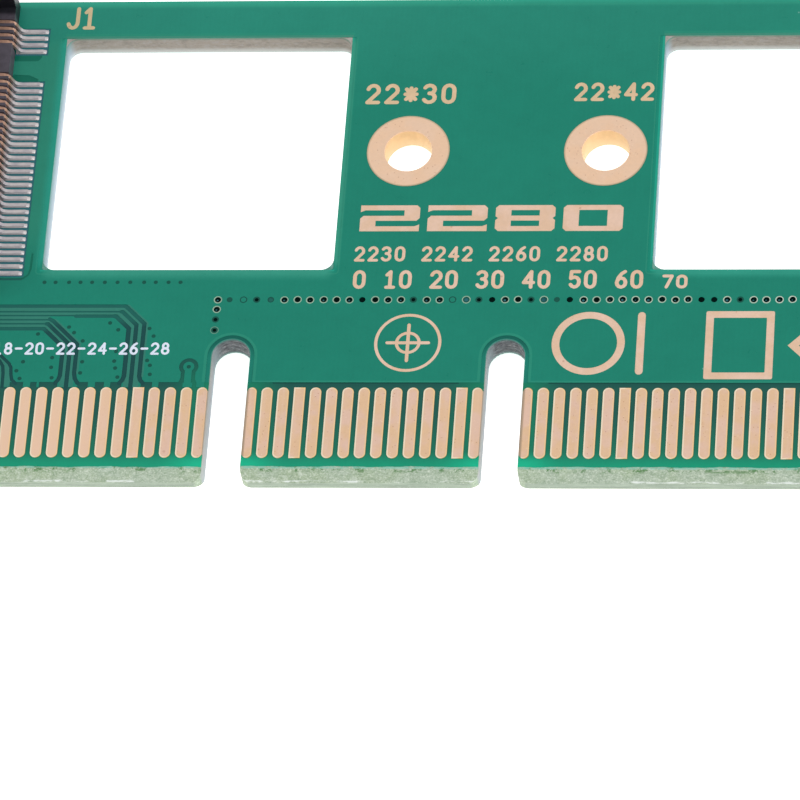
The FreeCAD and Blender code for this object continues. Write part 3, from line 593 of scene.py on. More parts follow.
M_COPPER = mask_material("mask_over_copper", lin(25, 125.5, 105.5), "copper")
M_RIM = mask_material("mask_over_copper_rim", lin(38, 134, 112), "rim")
M_TRACE = mask_material("mask_over_trace", lin(49, 121, 106), "rim")
M_DARK = mask_material("mask_over_core", lin(30, 88, 78), "dark")
M_RINGD = mask_material("mask_ring_core", lin(14, 94, 82), "ring")
M_RINGE = mask_material("mask_ring_edge", lin(58, 134, 120), "rim")
M_GAP = mask_material("mask_over_gap", lin(22, 73, 72), "gap")
M_GAPT = mask_material("mask_over_thin_gap", lin(28, 93, 83), "gap")
M_EDGE = mask_material("mask_along_edge", lin(30, 154, 131), "rim")
M_EDGEB = mask_material("mask_beside_edge", lin(22, 131, 110), "rim")
M_TENT = mask_material("mask_over_via", lin(18, 82, 70), "tent")
M_SHADE = mask_material("mask_in_clearance", lin(16, 108, 88), "tent")
M_LIT = mask_material("mask_over_lit_lip", lin(58, 133, 113), "rim")
M_STEP_SHADOW = mask_material("mask_step_shadow", lin(17, 72, 64), "tent")
M_CORE = mask_material("core_between_pads", lin(50, 108, 116), "tent")
M_FINGER = gold_material("gold_fingers", "fingers")
M_RING = gold_material("gold_rings", "rings")
M_PRINT = gold_material("gold_print", "print")
M_PRINT2 = gold_material("gold_print_dull", "dull")
M_LAM = laminate_material()
M_BLACK = housing_material()
M_SILK = plastic_material("white_print", lin(226, 232, 246), 0.6, lin(214, 222, 240), 0.3)
# painted shade: a near-black disc stands in for the dark bore of each via, which is not modelled
M_BORE_SHADE = plastic_material("via_bore", (0.0001, 0.004, 0.003), 0.6, (0.0006, 0.009, 0.008), 0.02)
M_GLINT = plastic_material("via_glint", lin(44, 104, 112), 0.5, lin(30, 84, 92), 0.1)
M_VRING = via_ring_material()
M_VRINGD = metal_material("via_copper_dull", lin(100, 150, 130), lin(84, 136, 116), 0.5, metal=0.1)
M_SOLDER = metal_material("tin_solder", lin(222, 213, 211), lin(202, 196, 200), 0.36, metal=0.5)
M_TIN = metal_material("tinned_contact", lin(178, 168, 166), lin(150, 144, 150), 0.34, metal=0.8)
M_STEEL = metal_material("nickel_plate", lin(205, 205, 205), lin(180, 181, 184), 0.25)
M_BRASS = metal_material("turned_brass", lin(216, 180, 104), lin(196, 156, 84), 0.28, (1.0, 1.0, 9.0))
M_SHEET = metal_material("bracket_sheet", lin(196, 197, 198), lin(176, 178, 181), 0.32, (9.0, 0.5, 9.0), 260.0)
M_CERAMIC = plastic_material("ceramic_tan", lin(168, 138, 104), 0.55, lin(150, 120, 88), 0.35)
M_RESIST = plastic_material("resistor_black", (0.012, 0.012, 0.014), 0.35, (0.02, 0.02, 0.024), 0.5)
M_TANT = plastic_material("moulded_yellow", lin(222, 168, 54), 0.5, lin(212, 156, 44), 0.4)
M_BAND = plastic_material("moulded_band", lin(120, 76, 34), 0.5, lin(108, 66, 28), 0.4)
M_LED = plastic_material("led_white", lin(232, 232, 222), 0.3, lin(222, 222, 208), 0.5)
M_LEDG = plastic_material("led_lens_green", lin(176, 216, 160), 0.2, lin(160, 206, 150), 0.6)
M_LEDR = plastic_material("led_lens_amber", lin(228, 196, 140), 0.2, lin(220, 186, 128), 0.6)


def contact_material():
    """Bronze contact: tinned at the foot, bare and shaded up in the socket."""
    g = G("socket_contact")
    x, y, z = g.xyz()
    n, _ = g.noise(1800.0, 4.0, 0.6)
    tin = g.mix(g.smooth(n, 0.3, 0.7), lin(216, 208, 208), lin(190, 184, 190))
    bronze = g.mix(g.smooth(n, 0.3, 0.7), lin(204, 160, 134), lin(172, 132, 116))
    foot = g.smooth(z, 0.25, 1.0)
    gold = g.mix(g.smooth(n, 0.3, 0.7), lin(214, 170, 110), lin(190, 148, 96))
    col = g.mix(foot, tin, bronze)
    col = g.mix(g.smooth(z, 1.5, 2.1), col, gold)
    b = g.bump(n, 0.25, 4e-6)
    return g.set(color=col, metal=0.55, rough=g.smooth(n, 0.2, 0.8, 0.30, 0.45), normal=b)


M_CONTACT = contact_material()


# ------------------------------------------------------------------ 2-D shapes
def arc(cx, cy, r, a0, a1, n):
    return [(cx + r * math.cos(math.radians(a0 + (a1 - a0) * i / n)),
             cy + r * math.sin(math.radians(a0 + (a1 - a0) * i / n))) for i in range(n + 1)]


def circle(cx, cy, r, n=32, turn=0.0):
    return [(cx + r * math.cos(2 * math.pi * i / n + turn), cy + r * math.sin(2 * math.pi * i / n + turn))
            for i in range(n)]


def rect(x0, y0, x1, y1):
    return [(x0, y0), (x1, y0), (x1, y1), (x0, y1)]


def rounded(points, seg=7):
    """points: (x, y, r). Arcs at every corner with a radius."""
    out = []
    n = len(points)
    for i in range(n):
        px, py, r = points[i]
        ax, ay = points[i - 1][:2]
        bx, by = points[(i + 1) % n][:2]
        if r < 1e-4:
            out.append((px, py))
            continue
        u = Vector((ax - px, ay - py)).normalized()
        w = Vector((bx - px, by - py)).normalized()
        half = 0.5 * math.acos(max(-1.0, min(1.0, u.dot(w))))
        d = r / math.tan(half)
        c = (u + w).normalized()
        cx, cy = px + c.x * r / math.sin(half), py + c.y * r / math.sin(half)
        s = (px + u.x * d - cx, py + u.y * d - cy)
        e = (px + w.x * d - cx, py + w.y * d - cy)
        a0 = math.atan2(s[1], s[0])
        a1 = math.atan2(e[1], e[0])
        while a1 - a0 > math.pi:
            a1 -= 2 * math.pi
        while a1 - a0 < -math.pi:
            a1 += 2 * math.pi
        k = seg if r > 0.3 else max(3, seg // 2)
        for j in range(k + 1):
            t = a0 + (a1 - a0) * j / k
            q = (cx + r * math.cos(t), cy + r * math.sin(t))
            if not out or math.hypot(out[-1][0] - q[0], out[-1][1] - q[1]) > 1e-4:
                out.append(q)
    return out


def inset(points, d):
    """Offset of an axis-aligned outline, walked clockwise or not, d to its inside."""
    n = len(points)
    area = 0.0
    for i in range(n):
        x0, y0 = points[i][:2]
        x1, y1 = points[(i + 1) % n][:2]
        area += x0 * y1 - x1 * y0
    sgn = 1.0 if area > 0 else -1.0
    out = []
    for i in range(n):
        p = Vector(points[i][:2])
        a = Vector(points[i - 1][:2])
        b = Vector(points[(i + 1) % n][:2])
        u = (p - a).normalized()
        w = (b - p).normalized()
        nu = Vector((-u.y, u.x)) * sgn
        nw = Vector((-w.y, w.x)) * sgn
        q = p + (nu + nw) * d
        turn = (u.x * w.y - u.y * w.x) * sgn     # > 0 at a convex corner
        r = points[i][2]
        r = max(0.0, r - d) if turn > 0 else r + d
        out.append((q.x, q.y, r))
    return out


def stroke(pts, w, closed=False, cap=True, seg=5):
    """Outline loops of a polyline of width w with mitred joints and round ends."""
    h = w / 2.0
    P = [Vector(p) for p in pts]
    n = len(P)

    def nrm(a, b):
        d = (b - a).normalized()
        return Vector((-d.y, d.x))

    def side(sign):
        res = []
        for i in range(n):
            if closed:
                n0, n1 = nrm(P[i - 1], P[i]), nrm(P[i], P[(i + 1) % n])
            elif i == 0:
                n0 = n1 = nrm(P[0], P[1])
            elif i == n - 1:
                n0 = n1 = nrm(P[-2], P[-1])
            else:
                n0, n1 = nrm(P[i - 1], P[i]), nrm(P[i], P[i + 1])
            m = n0 + n1
            k = m.length
            if k < 1e-6:
                m = n0
                f = 1.0
            else:
                m = m / k
                f = min(1.0 / max(m.dot(n0), 0.35), 2.0)
            res.append(P[i] + m * (h * f * sign))
        return [(v.x, v.y) for v in res]

    left, right = side(1.0), side(-1.0)
    if closed:
        return [left, right[::-1]]
    out = list(left)
    if cap:
        d = (P[-1] - P[-2]).normalized()
        a = math.degrees(math.atan2(d.y, d.x))
        out += arc(P[-1].x, P[-1].y, h, a + 90, a - 90, seg)[1:-1]
    out += right[::-1]
    if cap:
        d = (P[0] - P[1]).normalized()
        a = math.degrees(math.atan2(d.y, d.x))
        out += arc(P[0].x, P[0].y, h, a + 90, a - 90, seg)[1:-1]
    return [out]


def split_sharp(pts, limit=50.0):
    """Cut a polyline wherever it turns by more than limit degrees, so each run keeps round ends."""
    runs, cur = [], [pts[0]]
    for i in range(1, len(pts) - 1):
        cur.append(pts[i])
        a = Vector(pts[i]) - Vector(pts[i - 1])
        b = Vector(pts[i + 1]) - Vector(pts[i])
        if a.length > 1e-9 and b.length > 1e-9 and math.degrees(a.angle(b)) > limit:
            runs.append(cur)
            cur = [pts[i]]
    cur.append(pts[-1])
    runs.append(cur)
    return runs


# digits on a cell 0..1 wide and 0..1 high, as polylines
def _ell(cx, cy, rx, ry, a0, a1, n):
    return [(cx + rx * math.cos(math.radians(a0 + (a1 - a0) * i / n)),
             cy + ry * math.sin(math.radians(a0 + (a1 - a0) * i / n))) for i in range(n + 1)]


GLYPH = {
    "0": [(_ell(0.5, 0.70, 0.42, 0.30, 180, 0, 8) + _ell(0.5, 0.30, 0.42, 0.30, 0, -180, 8), True)],
    "1": [([(0.20, 0.80), (0.52, 1.0), (0.52, 0.0)], False), ([(0.18, 0.0), (0.86, 0.0)], False)],
    "2": [(_ell(0.5, 0.71, 0.42, 0.29, 165, -25, 8) + [(0.08, 0.0), (0.93, 0.0)], False)],
    "3": [(_ell(0.46, 0.76, 0.40, 0.24, 155, -90, 8), False),
          (_ell(0.46, 0.27, 0.44, 0.27, 90, -155, 9), False)],
    "4": [([(0.74, 0.0), (0.74, 1.0), (0.06, 0.30), (0.96, 0.30)], False)],
    "5": [([(0.88, 1.0), (0.16, 1.0), (0.12, 0.56)] + _ell(0.48, 0.33, 0.42, 0.32, 120, -150, 9), False)],
    "6": [(_ell(0.5, 0.29, 0.41, 0.29, 90, 450, 12)[:-1], True),
          ([(0.82, 1.0), (0.50, 0.86), (0.22, 0.60), (0.09, 0.29)], False)],
    "7": [([(0.08, 1.0), (0.92, 1.0), (0.36, 0.0)], False)],
    "8": [(_ell(0.5, 0.75, 0.34, 0.25, 90, 450, 12)[:-1], True), (_ell(0.5, 0.27, 0.42, 0.27, 90, 450, 12)[:-1], True)],
    "9": [(_ell(0.5, 0.71, 0.41, 0.29, 90, 450, 12)[:-1], True),
          ([(0.18, 0.0), (0.50, 0.14), (0.78, 0.40), (0.91, 0.71)], False)],
    "*": [([(0.5, 0.12), (0.5, 0.84)], False), ([(0.06, 0.48), (0.94, 0.48)], False),
          ([(0.14, 0.18), (0.86, 0.78)], False), ([(0.14, 0.78), (0.86, 0.18)], False)],
    "J": [([(0.85, 1.0), (0.85, 0.30)] + _ell(0.48, 0.29, 0.37, 0.29, 0, -165, 7), False)],
    "-": [([(0.12, 0.5), (0.88, 0.5)], False)],
    "C": [(_ell(0.5, 0.70, 0.42, 0.30, 35, 180, 7) + _ell(0.5, 0.30, 0.42, 0.30, 180, 325, 7), False)],
    "R": [([(0.1, 0.0), (0.1, 1.0), (0.55, 1.0)] + _ell(0.55, 0.76, 0.34, 0.24, 90, -90, 6) + [(0.1, 0.52)], False),
          ([(0.5, 0.52), (0.9, 0.0)], False)],
    "D": [([(0.1, 0.0), (0.1, 1.0), (0.45, 1.0)] + _ell(0.45, 0.5, 0.45, 0.5, 90, -90, 9) + [(0.1, 0.0)], False)],
}


def text(s, x0, y0, cell_w, height, pitch, w):
    """Loops of a line of digits; x0, y0 is the lower left of the first cell."""
    out = []
    for i, ch in enumerate(s):
        if ch == " ":
            continue
        for pts, closed in GLYPH[ch]:
            q = [(x0 + i * pitch + px * cell_w, y0 + py * height) for px, py in pts]
            if closed:
                out.append(stroke(q, w, True))
            else:
                out += [stroke(r, w) for r in split_sharp(q)]
    return out


# ------------------------------------------------------------------ planar arrangement
def arrange(features, eps=1e-5):
    """features: list of (class, [loops]) painted in order. Returns verts, tris, class of each."""
    verts, edges = [], []
    for _, loops in features:
        for lp in loops:
            b = len(verts)
            verts += [Vector((p[0], p[1])) for p in lp]
            k = len(lp)
            edges += [(b + i, b + (i + 1) % k) for i in range(k)]
    vo, eo, fo, _, _, _ = delaunay_2d_cdt(verts, edges, [], 0, eps)
    V2 = np.array([(v.x, v.y) for v in vo])
    T = np.array([f for f in fo if len(f) == 3], int)
    C = V2[T].mean(1)
    cls = np.zeros(len(T), int)
    names = ["none"]
    for c, _ in features:
        if c not in names:
            names.append(c)
    order = np.argsort(C[:, 0])
    cx = C[order, 0]
    for c, loops in features:
        allp = np.array([p for lp in loops for p in lp])
        lo, hi = allp.min(0), allp.max(0)
        i0, i1 = np.searchsorted(cx, lo[0]), np.searchsorted(cx, hi[0])
        idx = order[i0:i1]
        idx = idx[(C[idx, 1] >= lo[1]) & (C[idx, 1] <= hi[1])]
        if len(idx) == 0:
            continue
        P = C[idx]
        inside = np.zeros(len(idx), bool)
        for lp in loops:
            L = np.array(lp)
            x0, y0 = L[:, 0], L[:, 1]
            x1, y1 = np.roll(x0, -1), np.roll(y0, -1)
            for k in range(len(L)):
                if y0[k] == y1[k]:
                    continue
                cond = (y0[k] > P[:, 1]) != (y1[k] > P[:, 1])
                if not cond.any():
                    continue
                xi = (x1[k] - x0[k]) * (P[:, 1] - y0[k]) / (y1[k] - y0[k]) + x0[k]
                inside ^= cond & (P[:, 0] < xi)
        cls[idx[inside]] = names.index(c)
    return V2, T, cls, names


def build_layer(prefix, V2, T, cls, names, groups, flip):
    """groups: piece name -> {class: (height, material)}. Heights in mm over the face; flip puts the
    layer on the solder side. Each piece is a closed thin slab."""
    # edge -> the two triangles beside it
    made = {}
    tri_edges = {}
    for t in range(len(T)):
        for j in range(3):
            a, b = int(T[t][j]), int(T[t][(j + 1) % 3])
            tri_edges[(a, b)] = t
    floor = 0.001
    for piece, table in groups.items():
        idx = [names.index(c) for c in table if c in names]
        want = np.isin(cls, idx)
        if not want.any():
            continue
        h_of = {names.index(c): table[c][0] for c in table if c in names}
        mats = []
        m_of = {}
        for c in table:
            if c in names:
                if table[c][1] not in mats:
                    mats.append(table[c][1])
                m_of[names.index(c)] = mats.index(table[c][1])
        vid = {}
        co = []

        def vert(i, h):
            key = (i, round(h, 5))
            if key not in vid:
                vid[key] = len(co)
                x, y = V2[i]
                z = (-BT - h) if flip else h
                co.append(W(x, y, z))
            return vid[key]

        faces, fm = [], []

        def face(vs, m):
            faces.append(vs[::-1] if flip else vs)
            fm.append(m)

        for t in np.nonzero(want)[0]:
            c = int(cls[t])
            h, m = h_of[c], m_of[c]
            a, b, d = (int(v) for v in T[t])
            if (V2[b][0] - V2[a][0]) * (V2[d][1] - V2[a][1]) - (V2[b][1] - V2[a][1]) * (V2[d][0] - V2[a][0]) < 0:
                b, d = d, b
            face([vert(a, h), vert(b, h), vert(d, h)], m)
            face([vert(a, floor), vert(d, floor), vert(b, floor)], m)
            for p, q in ((a, b), (b, d), (d, a)):
                o = tri_edges.get((q, p))
                if o is None or o == t:
                    o = tri_edges.get((p, q))
                    if o == t:
                        o = None
                oc = int(cls[o]) if o is not None else 0
                low = h_of.get(oc, floor)
                if low < h - 1e-6:
                    face([vert(p, low), vert(q, low), vert(q, h), vert(p, h)], m)
        me = bpy.data.meshes.new(prefix + piece)
        me.from_pydata([tuple(v) for v in co], [], faces)
        for mt in mats:
            me.materials.append(mt)
        me.polygons.foreach_set("material_index", fm)
        me.update()
        ob = bpy.data.objects.new(prefix + piece, me)
        scene.collection.objects.link(ob)
        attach(ob, "root")
        made[piece] = ob
    return made


# ------------------------------------------------------------------ board outline
KEYS = ((10.5, 1.9, -14.95), (32.53, 2.38, -13.76), (49.52, 2.38, -13.76))
OUTLINE = [(-46.65, 11.32, 1.0), (-46.65, -15.5, 1.0), (-1.65, -15.5, 0.6), (-1.65, -23.66, 0.7)]
for _cx, _w, _top in KEYS:
    OUTLINE += [(_cx - _w / 2, -23.66, 0.7), (_cx - _w / 2, _top, _w / 2 - 1e-3),
                (_cx + _w / 2, _top, _w / 2 - 1e-3), (_cx + _w / 2, -23.66, 0.7)]
OUTLINE += [(83.0, -23.66, 0.7), (83.0, -15.5, 1.0), (85.4, -15.5, 1.0), (85.4, -21.9, 0.8),
            (92.6, -21.9, 0.8), (92.6, -18.6, 0.8), (88.6, -18.6, 0.6), (88.6, -15.5, 0.6),
            (98.0, -15.5, 1.0), (98.0, 11.32, 1.0)]
WINDOWS = ((20.15, 38.41), (58.21, 68.8), (76.6, 88.8))
HOLES = (42.52, 54.89, 72.9, 92.9)


def window(i, grow):
    x0, x1 = WINDOWS[i]
    return rounded([(x0 - grow, -8.73 - grow, 0.8 + grow), (x1 + grow, -8.73 - grow, 0.8 + grow),
                    (x1 + grow, 8.50 + grow, 0.8 + grow), (x0 - grow, 8.50 + grow, 0.8 + grow)])


def pad_x(n):
    return n - 2.0 if n <= 11 else float(n)


def finger_loop(n, grow=0.0):
    x = pad_x(n)
    x0, x1 = x - 0.35, x + 0.35
    for cx, w, _ in KEYS:
        if x < cx:
            x1 = min(x1, cx - w / 2 - 0.06)
        else:
            x0 = max(x0, cx + w / 2 + 0.06)
    x0, x1, y0, y1 = x0 - grow, x1 + grow, -22.22 - grow, -17.23 + grow
    if n % 10 == 7:
        return rect(x0, y0, x1, y1)
    r = (x1 - x0) / 2 - 0.002
    return rounded([(x0, y0, r), (x1, y0, r), (x1, y1, r), (x0, y1, r)], 8)


PADS = [n for n in range(1, 83) if n not in (32, 33, 49, 50)]

# ------------------------------------------------------------------ front face
F = []


def add(c, *loops):
    F.append((c, list(loops)))


def add_all(c, list_of_loops):
    for lp in list_of_loops:
        F.append((c, lp))


def band(c, pts, w, cap=True):
    F.append((c, stroke(pts, w, False, cap)[0:1]))


add("edge", rounded(inset(OUTLINE, 0.003)))
add("edgeb", rounded(inset(OUTLINE, 0.13)))
add("rim", rounded(inset(OUTLINE, 0.33)))
add("copper", rounded(inset(OUTLINE, 0.46)))
# slots: a dark ring round the top, with a painted highlight just outside it and a thin painted highlight along the
# wall's top edge
for cx, w, top in KEYS:
    for cls_name, grow in (("rim", 0.375), ("ring_dark", 0.275), ("ring_edge", 0.050)):
        add(cls_name, rounded([(cx - w / 2 - grow, -17.4, 0.0), (cx + w / 2 + grow, -17.4, 0.0),
                               (cx + w / 2 + grow, top + grow, w / 2 + grow - 1e-3),
                               (cx - w / 2 - grow, top + grow, w / 2 + grow - 1e-3)], 10))
# contact zone: core between the contacts, lit strip below them
BAND_Y = -16.85
xs = [-1.65] + [v for cx, w, _ in KEYS for v in (cx - w / 2, cx + w / 2)] + [83.0]
for i in range(0, len(xs), 2):
    lip0, lip1 = xs[i] + 0.46, xs[i + 1] - 0.46
    # painted highlight along the copper's lower edge
    if i >= 4:
        add("rim", rect(lip0, BAND_Y, lip1, BAND_Y + 0.11))
    add("dark", rect(xs[i] - 0.5, -23.5, xs[i + 1] + 0.5, BAND_Y))
    # painted shadow: a dark line under the step of the copper's lower edge
    if i >= 4:
        add("under", rect(lip0 + 1.1, BAND_Y - 0.085, lip1 - 1.1, BAND_Y))
# left block: copper reaches the contacts between short dark bars
BARS = [(19.2, 19.75), (20.2, 20.6), (20.75, 21.9), (23.15, 23.8), (24.25, 24.8), (25.2, 25.9),
        (27.1, 27.8), (28.2, 29.7), (30.3, 30.55)]
NECKS = [(11.6, 11.9), (12.3, 12.8), (13.2, 13.7), (14.3, 14.9), (15.2, 15.8), (16.2, 16.9), (17.2, 17.75),
         (18.45, 18.9), (19.75, 20.2), (20.6, 20.75), (21.9, 23.15), (23.8, 24.25), (24.8, 25.2),
         (25.9, 27.1), (27.8, 28.2), (29.7, 30.3), (30.55, 31.05)]
for a, b in NECKS:
    add("copper", rect(a, -17.22, b, BAND_Y + 0.02))
for a, b in ((-1.2, -0.8), (0.8, 1.2), (2.8, 3.2), (3.8, 4.2), (5.8, 6.2), (7.8, 8.2)):
    add("copper", rect(a, -17.22, b, BAND_Y + 0.02))

# traces: dark clearances with the lighter conductors between them
LX = 9.2
A_OUT = [(LX, -11.38), (25.68, -11.38)]
A_OUT2 = [(25.62, -11.38), (25.70, -11.40), (26.95, -12.65), (26.95, -16.42), (27.03, -16.70), (27.22, -16.93)]
A_MID = [(LX, -11.79), (25.50, -11.79)]
A_MID2 = [(25.44, -11.79), (25.52, -11.80), (26.46, -12.74), (26.46, -17.3)]
A_IN0 = [(LX, -12.07), (22.7, -12.07)]
A_IN = [(22.60, -12.11), (25.10, -12.11)]
A_IN2 = [(25.02, -12.11), (25.14, -12.13), (26.0, -12.99), (26.0, -16.42), (25.92, -16.70), (25.75, -16.93)]
B_TOP = [(LX, -12.37), (20.95, -12.37)]
B_OUT = [(20.98, -12.32), (21.22, -12.46), (22.87, -14.13), (22.87, -16.20), (22.95, -16.60), (23.14, -16.93)]
B_MID = [(LX, -12.66), (20.86, -12.66)]
B_MID2 = [(20.82, -12.66), (20.92, -12.68), (22.45, -14.21), (22.45, -17.3)]
B_IN = [(LX, -13.02), (20.68, -13.02)]
B_IN2 = [(20.60, -13.02), (20.70, -13.04), (22.0, -14.34), (22.0, -16.40), (21.92, -16.68), (21.75, -16.93)]
C_OUT = [(LX, -13.32), (16.53, -13.32), (18.74, -15.53), (18.88, -15.80), (18.93, -16.30), (19.02, -16.70), (19.28, -16.95)]
C_MID = [(LX, -13.62), (16.42, -13.62), (18.14, -15.34), (18.36, -15.70), (18.43, -16.2), (18.46, -17.2)]
C_IN = [(LX, -13.95), (16.3, -13.95), (17.70, -15.30), (17.88, -15.8), (17.88, -16.5), (17.75, -16.95)]
# the bundle itself is a shade duller than the pour round it
F.append(("trace", [[(LX, -13.02), (20.66, -13.02), (22.0, -14.36), (22.0, -17.2), (22.87, -17.2), (22.87, -14.12),
                     (21.14, -12.40), (20.95, -12.11), (25.12, -12.11), (26.0, -12.98), (26.0, -17.2), (26.95, -17.2),
                     (26.95, -12.66), (25.66, -11.38), (LX, -11.38)]]))
F.append(("trace", [[(LX, -13.32), (16.53, -13.32), (18.88, -15.67), (18.93, -17.2), (17.88, -17.2), (17.88, -15.6),
                     (16.3, -13.95), (LX, -13.95)]]))
# lit edge of the pour to the right of each bundle
for pts, w in ((A_OUT2, 0.26), (B_OUT, 0.26)):
    band("trace", [(px + 0.125, py + 0.01) for px, py in pts[1:4]], w)
for pts, w, c in ((A_OUT, 0.245, "gap"), (A_MID, 0.11, "gap_thin"), (A_IN0, 0.10, "gap_thin"), (A_IN, 0.24, "gap"),
                  (B_TOP, 0.11, "gap_thin"), (B_MID, 0.11, "gap_thin"), (B_IN, 0.25, "gap"),
                  (A_OUT2, 0.27, "gap"), (A_MID2, 0.265, "gap"), (A_IN2, 0.29, "gap"), (B_OUT, 0.26, "gap"),
                  (B_MID2, 0.265, "gap"), (B_IN2, 0.27, "gap"), (C_OUT, 0.21, "gap"), (C_MID, 0.21, "gap"),
                  (C_IN, 0.21, "gap")):
    band(c, pts, w)
# keyhole around the small via of contact 30
add("dark", circle(29.98, -15.74, 0.60, 24))
add("dark", [(29.53, -15.9), (30.43, -15.9), (30.43, -16.55), (30.52, -16.90), (29.40, -16.90), (29.53, -16.55)])
add("copper", circle(29.98, -15.74, 0.35, 20))
add("copper", rect(29.76, -17.2, 30.20, -15.9))
# clearance round the socket's pads, front row
SX1 = 19.42
band("shade", [(SX1 + 0.02, -7.6), (SX1, -8.7), (SX1 - 0.10, -9.10), (SX1 - 0.40, -9.36), (18.7, -9.42)], 0.13)
band("gap_thin", [(18.9, -9.42), (17.0, -9.42), (9.6, -9.42)], 0.16)
add("shade", rounded([(16.9, 6.80, 0.1), (18.45, 6.80, 0.2), (18.75, 7.24, 0.1), (16.9, 7.24, 0.0)], 4))
add("shade", rounded([(16.9, 5.26, 0.0), (18.9, 5.26, 0.1), (18.0, 5.72, 0.2), (16.9, 5.80, 0.1)], 4))
FRONT_PINS = [-9.0 + 0.5 * i for i in range(29)] + [7.5, 8.0, 8.5, 9.0]
REAR_PINS = [-9.25 + 0.5 * i for i in range(29)] + [7.25, 7.75, 8.25, 8.75, 9.25]
add("core", rect(16.9, -9.27, 19.02, 5.27))
add("core", rect(16.9, 7.23, 19.02, 9.27))
add("core", rect(6.75, -9.52, 8.5, 5.02))
add("core", rect(6.75, 6.98, 8.5, 9.52))
for y in FRONT_PINS:
    add("solder", rounded([(16.95, y - 0.15, 0.0), (18.92, y - 0.15, 0.1), (18.92, y + 0.15, 0.1),
                           (16.95, y + 0.15, 0.0)], 4))
for y in REAR_PINS:
    add("solder", rounded([(6.75, y - 0.15, 0.1), (8.5, y - 0.15, 0.0), (8.5, y + 0.15, 0.0),
                           (6.75, y + 0.15, 0.1)], 4))
for s in (-1, 1):
    add("solder", rect(10.6, min(s * 10.2, s * 11.22), 13.0, max(s * 10.2, s * 11.22)))

# vias
RINGED = [31.4, 35.55, 36.37, 37.15, 38.0, 38.8, 39.6, 41.2, 42.0, 42.8, 44.4, 45.2, 49.25, 50.05, 54.1, 54.9,
          55.72, 56.5, 57.3, 58.1, 58.93, 59.75, 60.53, 62.93, 64.55, 65.33, 66.13, 66.93]
DIM = [32.13, 33.0, 33.82, 34.7, 43.57, 46.0, 47.63, 50.85, 52.45, 63.73]
BLACK = [40.4, 48.45, 53.25, 61.35, 62.13]
FILLED = [46.85, 51.65]
RINGED += [67.73 + 0.8 * i for i in range(18) if i not in (3, 9)]
DIM += [67.73 + 0.8 * 3, 67.73 + 0.8 * 9]
VY = -10.92


def via(x, y, kind):
    # via_hole discs are painted shade standing in for the unmodelled bores; via_glint dots are painted glints
    if kind == "ring":
        add("via_ring", circle(x, y, 0.265, 16))
        add("via_hole", circle(x + 0.005, y + 0.005, 0.198, 14, 0.2))
        glint = (0.0, 0.05, 0.075, 0.04, 0.085)[int(x * 7.3) % 5] * (1.0 if x > 48 else 0.7)
        if glint > 0.03:
            add("via_glint", circle(x - 0.02, y - 0.03, glint, 9))
    elif kind == "dimring":
        add("via_dull", circle(x, y, 0.27, 14))
        add("tent", circle(x, y, 0.215, 12))
    elif kind == "dimcore":
        add("via_dull", circle(x, y, 0.27, 14))
        add("tent", circle(x, y, 0.22, 12))
        add("via_hole", circle(x, y, 0.12, 10))
    elif kind == "black":
        add("via_hole", circle(x, y, 0.20, 14))
    elif kind == "fill":
        add("via_ring", circle(x, y, 0.275, 16))
        add("tent", circle(x, y, 0.215, 14))
        add("via_glint", circle(x, y, 0.14, 10))
    elif kind == "dim":
        add("tent", circle(x, y, 0.19, 12))
    elif kind == "small":
        add("tent", circle(x, y, 0.135, 9))
    elif kind == "faint":
        add("tent", circle(x, y, 0.24, 12))
        add("copper", circle(x, y, 0.17, 10))
    elif kind == "deep":
        add("tent", circle(x, y, 0.23, 12))
        add("via_hole", circle(x, y, 0.13, 10))
    elif kind == "mid":
        add("tent", circle(x, y, 0.21, 12))
        add("gap", circle(x, y, 0.15, 10))


for x in RINGED:
    via(x, VY + random.uniform(-0.02, 0.02), "ring")
for x, kind in zip(DIM, ("dim", "faint", "deep", "mid", "deep", "faint", "deep", "deep", "dim", "deep", "deep", "dim")):
    via(x, VY, kind)
for x in BLACK:
    via(x, VY, "black")
for x in FILLED:
    via(x, VY, "fill")
via(31.38, -11.62, "ring")
via(31.36, -12.35, "deep")
via(31.36, -13.12, "dimcore")
SMALL = [(20.4, -9.65), (21.1, -9.65), (21.95, -9.65), (22.67, -9.65), (23.4, -9.65), (24.2, -9.65), (25.0, -9.65),
         (25.8, -9.65), (26.67, -9.65), (27.4, -9.65), (28.2, -9.65), (28.95, -9.65), (20.35, -13.4),
         (22.25, -12.9), (22.6, -13.3), (23.2, -13.9), (24.8, -12.6), (25.35, -13.1), (27.3, -13.0),
         (27.6, -13.55), (19.6, -15.4), (19.25, -16.05), (19.5, -16.6), (21.4, -15.1), (21.4, -15.8),
         (21.5, -16.55), (23.3, -15.4), (23.25, -16.2), (25.35, -14.65), (25.3, -15.35), (25.4, -15.85),
         (25.6, -16.5), (27.35, -15.3), (27.55, -15.65), (27.6, -16.3), (29.98, -15.75)]
for x, y in SMALL:
    via(x, y, "small")
for x, y in [(-40.0 + 4.0 * i, 10.0) for i in range(1, 12)] + [(-38.0 + 4.0 * i, -13.9) for i in range(1, 9)] \
        + [(-30.0 + 6.0 * i, -2.0) for i in range(4)] + [(4.8, y) for y in (9.6, 7.1, 4.7, 2.0, -0.3, -2.1, -3.9, -5.7, -7.5)]:
    via(x, y, "small")

